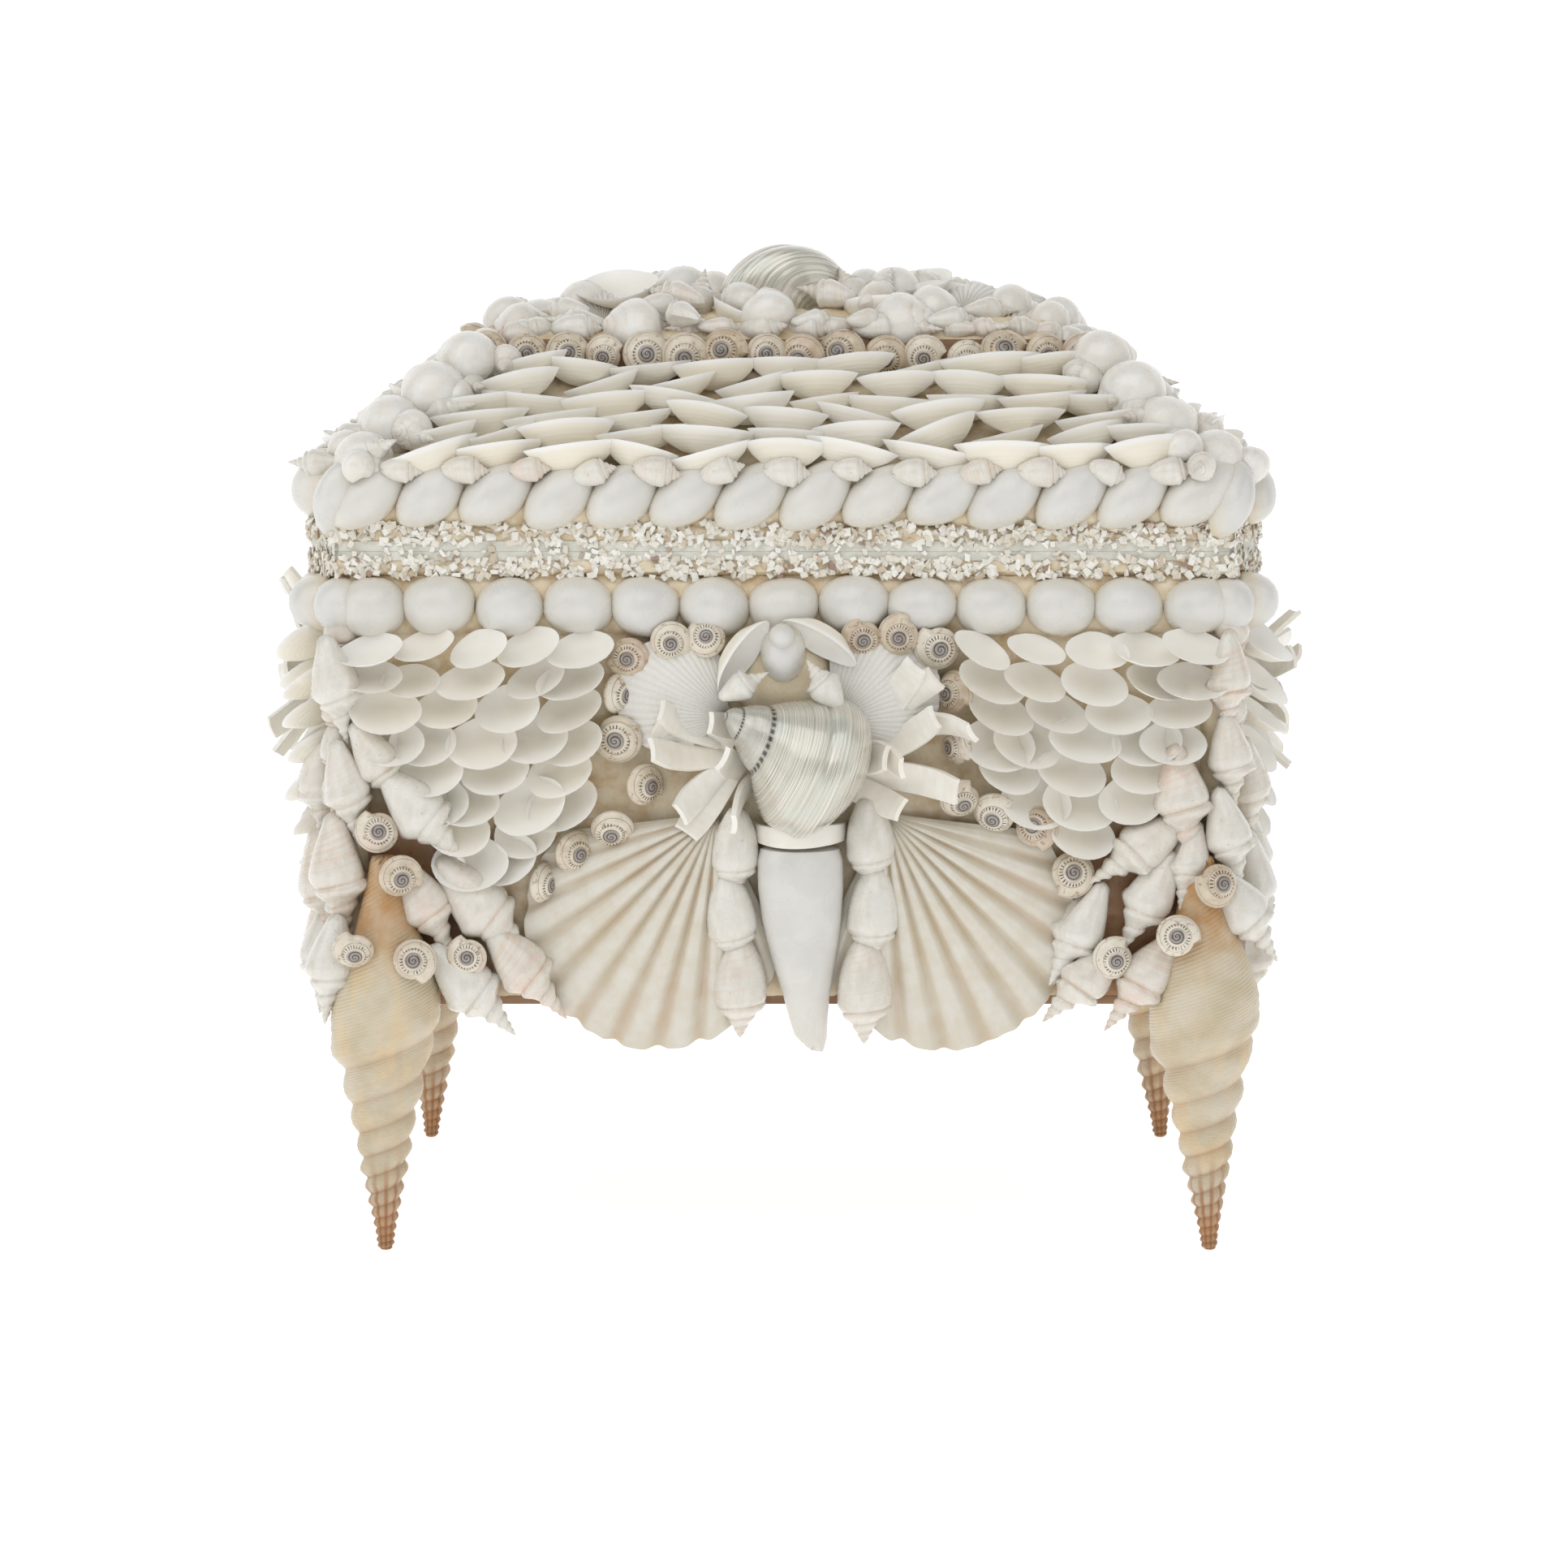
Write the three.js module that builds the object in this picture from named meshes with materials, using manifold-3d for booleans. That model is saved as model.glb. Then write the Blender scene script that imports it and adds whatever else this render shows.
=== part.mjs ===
// Shell box: a wooden chest with a hipped lid that lifts off, standing on four spindle shells.
// Every face is covered with sea shells set in plaster, and the front carries a winged figure made of shells.
// Millimetres, +Z up. The front faces -Y. The origin is the bottom centre, level with the four tips.
import * as THREE from "three";
import { mergeVertices } from "three/addons/utils/BufferGeometryUtils.js";
import Module from "manifold-3d";

const wasm = await Module();
wasm.setup();

// ---- Driving dimensions ----
const GAP = 0.3; // clearance between neighbouring pieces
const BOX = { x: 140, y: 88, bottom: 82, top: 227, wall: 7 };
const LID = { bottom: BOX.top + GAP, eaves: 250, brow: 283, top: 293, inset: 44, wall: 7 };
const PLATFORM = { x: BOX.x - LID.inset, y: BOX.y - LID.inset };
const BED = 2; // plaster that the shells sit in
const BAND = { depth: 3.4, boxBottom: 219.6, lidTop: 233.2, groove: 1.6, grooveReach: 1.6 };
const MOON = { count: { x: 13, y: 8 }, pitch: 21.8, height: 18, depth: 9, level: 210.2 };
const OVAL = { count: { x: 14, y: 8 }, pitch: 20.1, height: 22.8, depth: 9, level: 245, lean: -38 };
const CUP = { reach: 13.5, overhang: 2 };
const BOAT = { reach: 11, overhang: 1.5 };
const BORDER = { count: { x: 16, y: 7 }, pitch: 12.2, height: 9.6, depth: 5, flat: true, level: 288.4 };
const ARC = { pitch: 14, height: 13, depth: 5, flat: true };
const CONCH_SLIM = 0.46; // a conch's width over its length
const LEG = { top: 132, lean: 15, foot: 83, left: -130, right: 136, neck: 132, tipRadius: 1.8, flare: 0.235 };
const WHORL = { first: 7.6, growth: 1.3, body: 66, bulge: 0.13 };
const RIDGE = { count: 5, pitch: 13.4, height: 25, depth: 11 };
const HEAP = { x: 86, y: 27, columns: 7, rise: 8 };
const FLOWER = { petals: 6, length: 34, width: 9, level: 174, tip: -60 };
const DEG = Math.PI / 180;

const COLOR = {
  wood: "#a98d6c",
  grit: "#d9d3c4",
  white: "#e9e7e1",
  cream: "#e8e0cd",
  pearl: "#dcdacb",
  button: "#cfc3ae",
  leg: "#dcc7a3",
};

// ---- Solids ----
// A three.js geometry with its shared corners merged and its flat triangles left out.
function weld(geometry) {
  const g = geometry.index ? geometry.toNonIndexed() : geometry;
  for (const name of ["normal", "uv"]) g.deleteAttribute(name);
  const welded = mergeVertices(g, 1e-4);
  const corners = welded.index.array;
  const kept = [];
  for (let i = 0; i < corners.length; i += 3) {
    const [a, b, c] = corners.subarray(i, i + 3);
    if (a !== b && b !== c && a !== c) kept.push(a, b, c);
  }
  return welded.setIndex(kept);
}

// A welded geometry as a solid whose faces point out.
function solid(geometry) {
  const vertProperties = geometry.attributes.position.array;
  const triVerts = new Uint32Array(geometry.index.array);
  const made = new wasm.Manifold(new wasm.Mesh({ numProp: 3, vertProperties, triVerts }));
  if (made.volume() > 0) return made;
  triVerts.reverse();
  return new wasm.Manifold(new wasm.Mesh({ numProp: 3, vertProperties, triVerts }));
}

const join = (solids) => wasm.Manifold.union(solids);

// Turns a profile of [radius, height] round the local Z axis.
function turned(profile, sides) {
  const points = profile.map(([r, h]) => new THREE.Vector2(r, h));
  return weld(new THREE.LatheGeometry(points, sides).rotateY(-Math.PI / 2).rotateX(Math.PI / 2));
}

function block(x0, x1, y0, y1, z0, z1) {
  const g = weld(new THREE.BoxGeometry(x1 - x0, y1 - y0, z1 - z0));
  return g.translate((x0 + x1) / 2, (y0 + y1) / 2, (z0 + z1) / 2);
}

// A flat slab over an outline of [x, y] corners, from z = 0 up.
function slab(outline, thickness) {
  const shape = new THREE.Shape(outline.map(([x, y]) => new THREE.Vector2(x, y)));
  return weld(new THREE.ExtrudeGeometry(shape, { depth: thickness, bevelEnabled: false }));
}

// A block centred on the Z axis, half.x by half.y to each side.
const centred = (half, z0, z1) => block(-half.x, half.x, -half.y, half.y, z0, z1);

// Moves each vertex of a geometry by a function of its place.
function reshape(geometry, move) {
  const p = geometry.getAttribute("position");
  const v = new THREE.Vector3();
  for (let i = 0; i < p.count; i++) {
    v.fromBufferAttribute(p, i);
    move(v);
    p.setXYZ(i, v.x, v.y, v.z);
  }
  return geometry;
}

// A block between two rectangles, both centred on the Z axis.
const frustum = (low, lowZ, high, highZ) =>
  reshape(block(-1, 1, -1, 1, 0, 1), (v) => {
    const half = v.z > 0.5 ? high : low;
    v.set(v.x * half.x, v.y * half.y, v.z > 0.5 ? highZ : lowZ);
  });

// ---- Shells, each in its own frame: X across, Y along, Z out of what it sits on ----
// A smooth shell, flat behind: half an egg.
const dome = (width, length, height, sides = 6) =>
  turned([[0, 0], [1, 0], [0.76, 0.66], [0, 1]], sides).scale(width / 2, length / 2, height);

// A row of smooth shells side by side along X, each swelling once between two nips.
// A fine row has two cross-sections to a shell, a plain one has one. A flat row has no crest.
function beads(count, { pitch, height, depth, lean = 0, flat = false }, fine = false) {
  const swelling = fine ? [0.45, 1, 1] : [0.45, 1];
  const spot = fine ? [0, 0.25, 0.75] : [0, 0.5];
  const stations = swelling.length;
  return reshape(weld(new THREE.BoxGeometry(1, 2, 1, count * stations, flat ? 1 : 2, 1)), (v) => {
    const k = Math.round((v.x + 0.5) * count * stations);
    const x = (Math.floor(k / stations) + spot[k % stations] - count / 2) * pitch;
    const y = (v.y * swelling[k % stations] * height) / 2;
    const z = v.z > 0 ? depth * swelling[k % stations] * (v.y && !flat ? 0.45 : 1) : 0;
    v.set(x - y * Math.tan(lean * DEG), y, z);
  });
}

// A field of half shells that overlap downwards like shingles, centred on the origin, on a bed of plaster.
// Each row steps out to a scalloped lip that hangs a little over the row below.
function shingles(width, height, columns, rows, { reach, overhang }) {
  return reshape(weld(new THREE.BoxGeometry(1, 1, 1, 2 * columns, 2 * rows, 1)), (v) => {
    const column = Math.round((v.x + 0.5) * 2 * columns);
    const line = Math.round((v.y + 0.5) * 2 * rows);
    const isLip = line % 2 === 1;
    const isPeak = (column + (line - 1) / 2) % 2 === 1;
    let y = v.y * height;
    let z = v.z > 0 ? BED : 0;
    if (isLip && v.z > 0) {
      z = isPeak ? reach : 0.6 * reach;
      y -= height / rows / 2 + (isPeak ? overhang : -overhang);
    }
    v.set(v.x * width, y, z);
  });
}

// A flat round snail, its spiral towards +Z.
const button = (width, height, sides = 6) =>
  turned([[0, 0], [1, 0], [0, 1]], sides).scale(width / 2, width / 2, height);

// A conch lying along Y, its spire towards +Y.
const conch = (length, width = length * CONCH_SLIM, sides = 5) =>
  turned([[0, -0.5], [1, 0.02], [0.5, 0.2], [0, 0.5]], sides)
    .rotateX(-Math.PI / 2)
    .scale(width / 2, length, width / 2);

// A ribbed fan, its ribs spreading from the hinge at -Y to a round rim.
const fan = (radius, height, ribs, depth = 0.06) =>
  reshape(turned([[0, 0], [1, 0], [1, 0.12], [0.55, 0.9], [0, 0.4]], 2 * ribs), (v) => {
    const r = Math.hypot(v.x, v.y);
    const edge = Math.round((Math.atan2(v.y, v.x) / Math.PI) * ribs);
    const rib = r > 0.01 && Math.abs(edge) % 2 ? 1 - depth : 1;
    v.set(v.x * rib * radius, (v.y * rib - 0.92 * (1 - r)) * radius, v.z * rib * height);
  });

// A turban shell lying along Y, its spire towards +Y.
function turban(width, length) {
  const profile = [[0, -0.44], [0.62, -0.38], [1, -0.08], [0.72, 0.2], [0.52, 0.24], [0.4, 0.38], [0, 0.5]];
  return turned(profile, 8).rotateX(-Math.PI / 2).scale(width / 2, length, width / 2);
}

// A strip cut from a shell: it starts at the origin, runs along +Y and curls towards +Z.
const strip = (width, length, curl, thickness = 1.6, bends = 2) =>
  reshape(weld(new THREE.BoxGeometry(width, length, thickness, 1, bends, 1)), (v) => {
    const t = v.y / length + 0.5;
    v.set(v.x * (1 - 0.3 * t), v.y + length / 2, v.z + curl * t * t);
  });

// A spindle shell standing on its spire: the tip at the origin, the body whorl and its canal above.
function spindle(height) {
  const points = [[0, 0], [LEG.tipRadius, 0]];
  let z = 0;
  for (let rise = WHORL.first; z < WHORL.body; rise *= WHORL.growth) {
    const radius = LEG.tipRadius + LEG.flare * (z + rise / 2);
    points.push([radius * (1 + WHORL.bulge), z + 0.5 * rise]);
    z += rise;
    points.push([radius * (1 - WHORL.bulge / 2), z]);
  }
  points.pop();
  points.push([14, z + 6], [7.5, z + 20], [6, height], [0, height]);
  return turned(points, 7);
}

// ---- Where shells go ----
// A number from -1 to 1 that looks random and is the same every time.
function jitter(seed) {
  const s = Math.sin(seed * 12.9898 + 4.1414) * 43758.5453;
  return 2 * (s - Math.floor(s)) - 1;
}

const vec = (x, y, z) => new THREE.Vector3(x, y, z);
const UP = vec(0, 0, 1);

// A face to lay shells on, just clear of the wood: its origin, and the directions along it, up it and out of it.
const face = (origin, along, up) => ({ origin, along, up, out: along.clone().cross(up) });
const WALLS = {
  front: face(vec(0, -BOX.y - GAP, 0), vec(1, 0, 0), UP),
  right: face(vec(BOX.x + GAP, 0, 0), vec(0, 1, 0), UP),
  back: face(vec(0, BOX.y + GAP, 0), vec(-1, 0, 0), UP),
  left: face(vec(-BOX.x - GAP, 0, 0), vec(0, -1, 0), UP),
};
const SIDES = Object.keys(WALLS);
const HANDS = { left: -1, right: 1 };
const half = (size, side) => (side === "front" || side === "back" ? size.x : size.y);

// The same face moved along its own outward direction.
const shifted = (on, distance) => ({ ...on, origin: on.origin.clone().addScaledVector(on.out, distance) });

// A lid slope, from the eaves at v = 0 up to the platform.
const RISE = LID.brow - LID.eaves;
const SLOPE_LENGTH = Math.hypot(RISE, LID.inset);
function slopeOf(side) {
  const wall = WALLS[side];
  const up = UP.clone().multiplyScalar(RISE).addScaledVector(wall.out, -LID.inset).normalize();
  return face(wall.origin.clone().addScaledVector(UP, LID.eaves + GAP), wall.along, up);
}
const TOP = face(vec(0, 0, LID.top + GAP), vec(1, 0, 0), vec(0, 1, 0));

// The place of a shell: u along the face, v up it, lifted off it, turned in it, and tipped to open upwards.
function at(on, u, v, lift = 0, turn = 0, tip = 0) {
  const spot = on.origin.clone().addScaledVector(on.along, u).addScaledVector(on.up, v);
  spot.addScaledVector(on.out, lift);
  return new THREE.Matrix4()
    .makeBasis(on.along, on.up, on.out)
    .setPosition(spot)
    .multiply(new THREE.Matrix4().makeRotationZ(turn * DEG))
    .multiply(new THREE.Matrix4().makeRotationX(-tip * DEG));
}

// The unit normals of a geometry's triangles, facing out, listed by the corner that they meet at.
function normalsByCorner(geometry) {
  const p = geometry.getAttribute("position");
  const corners = geometry.index.array;
  const meeting = Array.from({ length: p.count }, () => []);
  const triangle = new THREE.Triangle();
  let volume = 0;
  for (let i = 0; i < corners.length; i += 3) {
    triangle.setFromAttributeAndIndices(p, corners[i], corners[i + 1], corners[i + 2]);
    const normal = triangle.getNormal(vec(0, 0, 0));
    volume += normal.dot(triangle.a) * triangle.getArea();
    for (const corner of corners.slice(i, i + 3))
      if (meeting[corner].every((n) => n.dot(normal) < 0.999)) meeting[corner].push(normal);
  }
  if (volume < 0) meeting.flat().forEach((n) => n.negate());
  return meeting;
}

// A geometry grown by the gap: each corner moves out so that all the faces that meet there move about that far.
function grown(geometry) {
  const p = geometry.getAttribute("position").clone();
  normalsByCorner(geometry).forEach((normals, i) => {
    const mean = normals.reduce((sum, n) => sum.add(n), vec(0, 0, 0)).divideScalar(normals.length);
    const reach = Math.min(3, 1.2 / mean.length()) * GAP;
    mean.setLength(reach);
    p.setXYZ(i, p.getX(i) + mean.x, p.getY(i) + mean.y, p.getZ(i) + mean.z);
  });
  return new THREE.BufferGeometry().setAttribute("position", p).setIndex(geometry.index);
}

// A shell in its place, and the room that its neighbours leave round it.
function lay(geometry, matrix = new THREE.Matrix4()) {
  geometry.applyMatrix4(matrix);
  return { core: solid(geometry), room: solid(grown(geometry)) };
}

// Plaster on a face, over an outline of [u, v] corners.
const bed = (on, outline, thickness = BED) => lay(slab(outline, thickness), at(on, 0, 0));
const rectangle = (u0, u1, v0, v1) => [[u0, v0], [u1, v0], [u1, v1], [u0, v1]];

// ---- The pieces ----
const group = new THREE.Group();

function addSolid(name, color, body, roughness = 0.35) {
  const m = body.getMesh();
  const g = new THREE.BufferGeometry();
  g.setAttribute("position", new THREE.BufferAttribute(new Float32Array(m.vertProperties), 3));
  g.setIndex(new THREE.BufferAttribute(new Uint32Array(m.triVerts), 1));
  const mesh = new THREE.Mesh(g, new THREE.MeshStandardMaterial({ color, roughness, metalness: 0 }));
  mesh.name = name;
  group.add(mesh);
}

// The chest and its lid, grown all round by a clearance.
const chest = (grow) => solid(centred({ x: BOX.x + grow, y: BOX.y + grow }, BOX.bottom - grow, BOX.top));
function lidBlock(grow) {
  const eaves = { x: BOX.x + grow, y: BOX.y + grow };
  const brow = { x: PLATFORM.x + grow, y: PLATFORM.y + grow };
  return join([
    solid(centred(eaves, LID.bottom, LID.eaves + grow)),
    solid(frustum(eaves, LID.eaves + grow, brow, LID.brow + grow)),
    solid(centred(brow, LID.eaves, LID.top + grow)),
  ]);
}
const seam = solid(centred({ x: BOX.x + GAP, y: BOX.y + GAP }, BOX.top, LID.bottom));
let taken = join([chest(GAP), lidBlock(GAP), seam]);

// Adds shells as one piece, cut clear of all the pieces before it.
function add(name, color, shells, { yields = true, roughness = 0.35 } = {}) {
  const bodies = join(shells.map((s) => s.core)).subtract(taken).decompose();
  bodies.sort((a, b) => b.volume() - a.volume());
  addSolid(name, color, bodies[0].asOriginal().simplify(0.05), roughness);
  if (yields) taken = join([taken, ...shells.map((s) => s.room)]);
}

function addWoodwork() {
  const inner = { x: BOX.x - BOX.wall, y: BOX.y - BOX.wall };
  const cavity = solid(centred(inner, BOX.bottom + BOX.wall, BOX.top + 1));
  addSolid("box_body", COLOR.wood, chest(0).subtract(cavity), 0.7);
  // Under the slopes the lid's wall is as thick as its sides, measured square to the slope.
  const drop = (LID.wall * SLOPE_LENGTH) / LID.inset;
  const foot = LID.eaves - drop + (LID.wall * RISE) / LID.inset;
  const ceiling = { x: PLATFORM.x - LID.wall, y: PLATFORM.y - LID.wall };
  const hollow = join([
    solid(centred(inner, LID.bottom - 1, foot)),
    solid(frustum(inner, foot, ceiling, LID.brow - drop + (LID.wall * RISE) / LID.inset)),
    solid(centred(ceiling, LID.eaves, LID.top - LID.wall)),
  ]);
  addSolid("lid_shell", COLOR.wood, lidBlock(0).subtract(hollow), 0.7);
}

// A band of crushed shell right round the wood, thinner next to the seam.
function addBands() {
  const ring = (depth, z0, z1) => lay(centred({ x: BOX.x + depth, y: BOX.y + depth }, z0, z1));
  const { depth, groove, grooveReach } = BAND;
  add("crushed_band_box", COLOR.grit, [
    ring(groove, BOX.top - grooveReach, BOX.top),
    ring(depth, BAND.boxBottom, BOX.top - grooveReach),
  ], { roughness: 0.9 });
  add("crushed_band_lid", COLOR.grit, [
    ring(groove, LID.bottom, LID.bottom + grooveReach),
    ring(depth, LID.bottom + grooveReach, BAND.lidTop),
  ], { roughness: 0.9 });
}

// ---- Rows ----
// A row of polished shells along a wall, plainer away from the front.
function addRow(name, side, size) {
  const isFront = side === "front";
  const row = beads(half(size.count, side), { ...size, flat: !isFront }, isFront);
  add(name, COLOR.white, [lay(row, at(WALLS[side], 0, size.level))], { roughness: 0.15 });
}

// Polished moon shells in a row under the band.
function addMoonRows() {
  for (const side of SIDES) addRow("moon_row_" + side, side, MOON);
}

// Leaning almond shells round the lid's rim.
function addOvalRows() {
  for (const side of SIDES) addRow("oval_row_" + side, side, OVAL);
}

// ---- Legs ----
const CORNERS = { front_left: [-1, -1], front_right: [1, -1], back_left: [-1, 1], back_right: [1, 1] };
function addLegs() {
  for (const [corner, [sx, sy]] of Object.entries(CORNERS)) {
    const footX = sx < 0 ? LEG.left : LEG.right;
    const shell = reshape(spindle(LEG.top), (v) => {
      const t = v.z / LEG.top;
      v.set(v.x + footX + t * (sx * LEG.neck - footX), v.y + sy * (LEG.foot + t * LEG.lean), v.z);
    });
    add("leg_" + corner, COLOR.leg, [lay(shell)], { roughness: 0.5 });
  }
}

// ---- The winged figure on the front ----
const FRONT = WALLS.front;

function addFigure() {
  add("front_turban", COLOR.pearl, [lay(turban(43, 42), at(FRONT, 1, 165, 9, 68))], { roughness: 0.12 });
  const tusk = turned([[0, 0], [0.75, 0], [1, 0.16], [0.88, 0.5], [0.5, 0.86], [0.2, 1], [0, 1]], 8);
  tusk.scale(13.5, 10, 64).rotateX(-Math.PI / 2);
  add("tusk", COLOR.white, [lay(tusk, at(FRONT, 4.6, 134, 9, 177))], { roughness: 0.12 });
  const belt = new THREE.Shape().absellipse(0, 0, 14.5, 19, 0, Math.PI, false);
  const ring = weld(new THREE.ExtrudeGeometry(belt, { depth: 5, bevelEnabled: false, curveSegments: 8 }));
  ring.rotateX(Math.PI / 2).translate(0, 2.5, 0);
  add("belt", COLOR.white, [lay(ring, at(FRONT, 5, 139.5, 0, -2))]);
  addHead();
  for (const [side, s] of Object.entries(HANDS)) {
    const hinge = { left: 151, right: -151 }[side];
    const x = { left: -42.5, right: 54 }[side];
    add("scallop_" + side, COLOR.cream, [lay(fan(39, 9, 10), at(FRONT, x, 106.5, 1, hinge))], { roughness: 0.45 });
    const columns = { left: [-15.5, -17, -14], right: [27.2, 28.5, 25.5] }[side];
    const shells = columns.map((u, i) => {
      const [v, length, turn] = [[131, 26, 175], [112.5, 32, 186], [91, 34, 180]][i];
      return lay(conch(length, [15, 16, 18.5][i], 5), at(FRONT, u, v, 8, s * (turn - 180) + 180));
    });
    add("conch_column_" + side, COLOR.cream, shells);
    add("fan_" + side, COLOR.white, [
      lay(fan(19, 7, 7), at(FRONT, { left: -35, right: 35 }[side], 182.5, 1.5, -58 * s - 4)),
    ]);
  }
}

// The head: a bubble shell between two curled halves, with a small conch at each cheek.
function addHead() {
  const shells = [lay(dome(14, 18, 15), at(FRONT, -0.3, 197, 3))];
  for (const s of [-1, 1]) {
    const crest = strip(10, 24, 9, 2).translate(0, -12, 0);
    shells.push(lay(crest, at(FRONT, s * 14 - 0.5, 196, 9, -32 * s, 0)));
    shells.push(lay(conch(17, 11, 5), at(FRONT, s * 12.5, 186, 9, s * 140)));
  }
  shells.push(bed(FRONT, rectangle(-18, 17, 184, 203), 10));
  add("head", COLOR.white, shells);
}

// Strips cut from shells, fanned out on both sides of the turban.
const STRIPS = {
  left: [[64, 27], [82, 32], [98, 26], [116, 33], [134, 27], [152, 26]],
  right: [[-48, 33], [-64, 27], [-80, 34], [-96, 26], [-112, 31], [-132, 24]],
};
function addStrips() {
  for (const [side, s] of Object.entries(HANDS)) {
    const base = { left: [-12, 158], right: [17, 157] }[side];
    const shells = STRIPS[side].map(([turn, length], i) => {
      const tip = -30 - 9 * ((i * 2) % 3);
      return lay(strip(9, length, 0, 1.6, 1), at(FRONT, base[0], base[1], 12, turn, tip));
    });
    shells.push(lay(dome(14, 14, 17), at(FRONT, base[0] + 3 * s, base[1], 0)));
    add("cut_strips_" + side, COLOR.white, shells);
  }
}

// ---- Arcs of round snails beside the wings ----
const ARCS = {
  left: [[-17, 201], [-36, 200], [-50, 194], [-55, 180], [-50, 165], [-46, 152], [-56, 140], [-68, 131], [-84, 116]],
  right: [[18, 202], [37, 201.5], [49, 197], [56, 183], [53, 166], [54, 151], [67, 145], [81, 138], [95, 119]],
};
function addArcs() {
  for (const [side, knots] of Object.entries(ARCS)) {
    const curve = new THREE.CatmullRomCurve3(knots.map(([u, v]) => vec(u, v, 0)));
    const length = curve.getLength();
    const count = Math.round(length / ARC.pitch);
    const row = reshape(beads(count, { ...ARC, pitch: length / count }), (v) => {
      const t = Math.min(1, Math.max(0, v.x / length + 0.5));
      const spot = curve.getPointAt(t);
      const along = curve.getTangentAt(t);
      v.set(spot.x - along.y * v.y, spot.y + along.x * v.y, v.z);
    });
    add("button_arc_" + side, COLOR.button, [lay(row, at(FRONT, 0, 0))]);
  }
}

// ---- Corner clusters: conches that point down and outwards, and a few round snails ----
// Each conch is [across, height, turn of its spire from straight down, length], each snail [across, height].
// Across is measured from the corner, inwards.
const CLUSTERS = {
  front_left: {
    conches: [[-1, 184, 10, 34], [2, 152, 12, 32], [26, 144, 42, 38], [-1, 124, 6, 40], [27, 114, 28, 34],
      [45, 113, 42, 42], [-5, 95, -8, 34], [42, 88, 42, 38], [58, 94, 40, 36]],
    snails: [[11.5, 142], [18, 126], [4.5, 104], [23, 99], [40, 99]],
  },
  front_right: {
    conches: [[0, 186, 0, 34], [-1, 161, 6, 32], [14, 148, 8, 36], [28, 133, -56, 38], [-1, 136, 13, 34],
      [47, 106, -27, 36], [25, 116, -27, 36], [-8, 112, 32, 34], [45, 91, -40, 34], [26, 90, -37, 38]],
    snails: [[4.5, 123], [16, 106.5], [36, 99]],
  },
  plain: {
    conches: [[11, 146, 6, 36], [24, 118, 24, 40], [11, 104, 4, 40], [36, 96, 38, 38]],
    snails: [],
  },
};
function addClusters() {
  for (const side of SIDES) {
    for (const [corner, s] of Object.entries(HANDS)) {
      const on = WALLS[side];
      const edge = s * half(BOX, side);
      const own = side === "front" ? CLUSTERS["front_" + corner] : CLUSTERS.plain;
      const lean = side === "front" ? 1 : -s;
      const shells = own.conches.map(([u, v, turn, length], i) =>
        lay(conch(length, undefined, 4), at(on, edge - s * u, v, 6 + (i % 3), 180 + lean * turn)));
      for (const [u, v] of own.snails) shells.push(lay(button(14, 7), at(on, edge - s * u, v, 7)));
      const inner = side === "front" ? 58 : 42;
      const outline = [[1, 84], [1, 152], [10, 152], [34, 116], [inner, 98], [inner, 84]];
      shells.push(bed(on, outline.map(([u, v]) => [edge - s * u, v])));
      add(`conches_${side}_${corner}`, COLOR.cream, shells);
    }
  }
}

// ---- Cups in overlapping rows on the walls ----
// Each field has a grid of cups and an outline of [across, height] corners.
const WALL_OUTLINE = [[1, 200], [0.92, 150], [0.48, 95], [-0.48, 95], [-0.92, 150], [-1, 200]];
const CUP_FIELDS = {
  front_left: { side: "front", columns: 4, rows: 7, outline: [[-138, 200], [-134, 164], [-104, 122], [-94, 122],
    [-62, 154], [-65, 200]] },
  front_right: { side: "front", columns: 4, rows: 7, outline: [[66, 200], [64, 158], [96, 130], [106, 124],
    [128, 162], [136, 200]] },
  back: { side: "back", columns: 7, rows: 4, outline: WALL_OUTLINE.map(([u, v]) => [138 * u, v]) },
  left: { side: "left", columns: 4, rows: 4, outline: WALL_OUTLINE.map(([u, v]) => [86 * u, v]) },
  right: { side: "right", columns: 4, rows: 4, outline: WALL_OUTLINE.map(([u, v]) => [86 * u, v]) },
};

// A field of shingled shells over the box round an outline, cut to that outline.
function field(on, outline, columns, rows, shape) {
  const us = outline.map(([u]) => u);
  const vs = outline.map(([, v]) => v);
  const [u0, u1, v0, v1] = [Math.min(...us), Math.max(...us), Math.min(...vs), Math.max(...vs)];
  const grid = shingles(u1 - u0, v1 - v0, columns, rows, shape);
  const shells = lay(grid, at(on, (u0 + u1) / 2, (v0 + v1) / 2));
  const cutter = lay(slab(outline, 3 * shape.reach), at(on, 0, 0, -shape.reach));
  return { core: shells.core.intersect(cutter.core), room: shells.room };
}

function addCups() {
  for (const [name, { side, outline, columns, rows }] of Object.entries(CUP_FIELDS))
    add("cups_" + name, COLOR.white, [field(WALLS[side], outline, columns, rows, CUP)], { yields: false });
}

// ---- Flowers of cut strips round a small turban, one on each wall but the front ----
function addFlowers() {
  for (const side of SIDES.slice(1)) {
    const on = WALLS[side];
    const shells = [lay(button(26, 30), at(on, 0, FLOWER.level))];
    for (let i = 0; i < FLOWER.petals; i++) {
      const turn = (360 * i) / FLOWER.petals + 6 * jitter(i);
      const petal = strip(FLOWER.width, FLOWER.length, 0, 2, 1);
      shells.push(lay(petal, at(on, 0, FLOWER.level, 6, turn, FLOWER.tip + 8 * jitter(i + 9))));
    }
    add("flower_" + side, COLOR.white, shells);
  }
}

// ---- The lid ----
// A row of round snails round the raised top.
function addBorders() {
  for (const side of SIDES) {
    const edge = shifted(WALLS[side], -LID.inset);
    const row = beads(half(BORDER.count, side), BORDER);
    add("button_border_" + side, COLOR.button, [lay(row, at(edge, 0, BORDER.level))]);
  }
}

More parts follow.
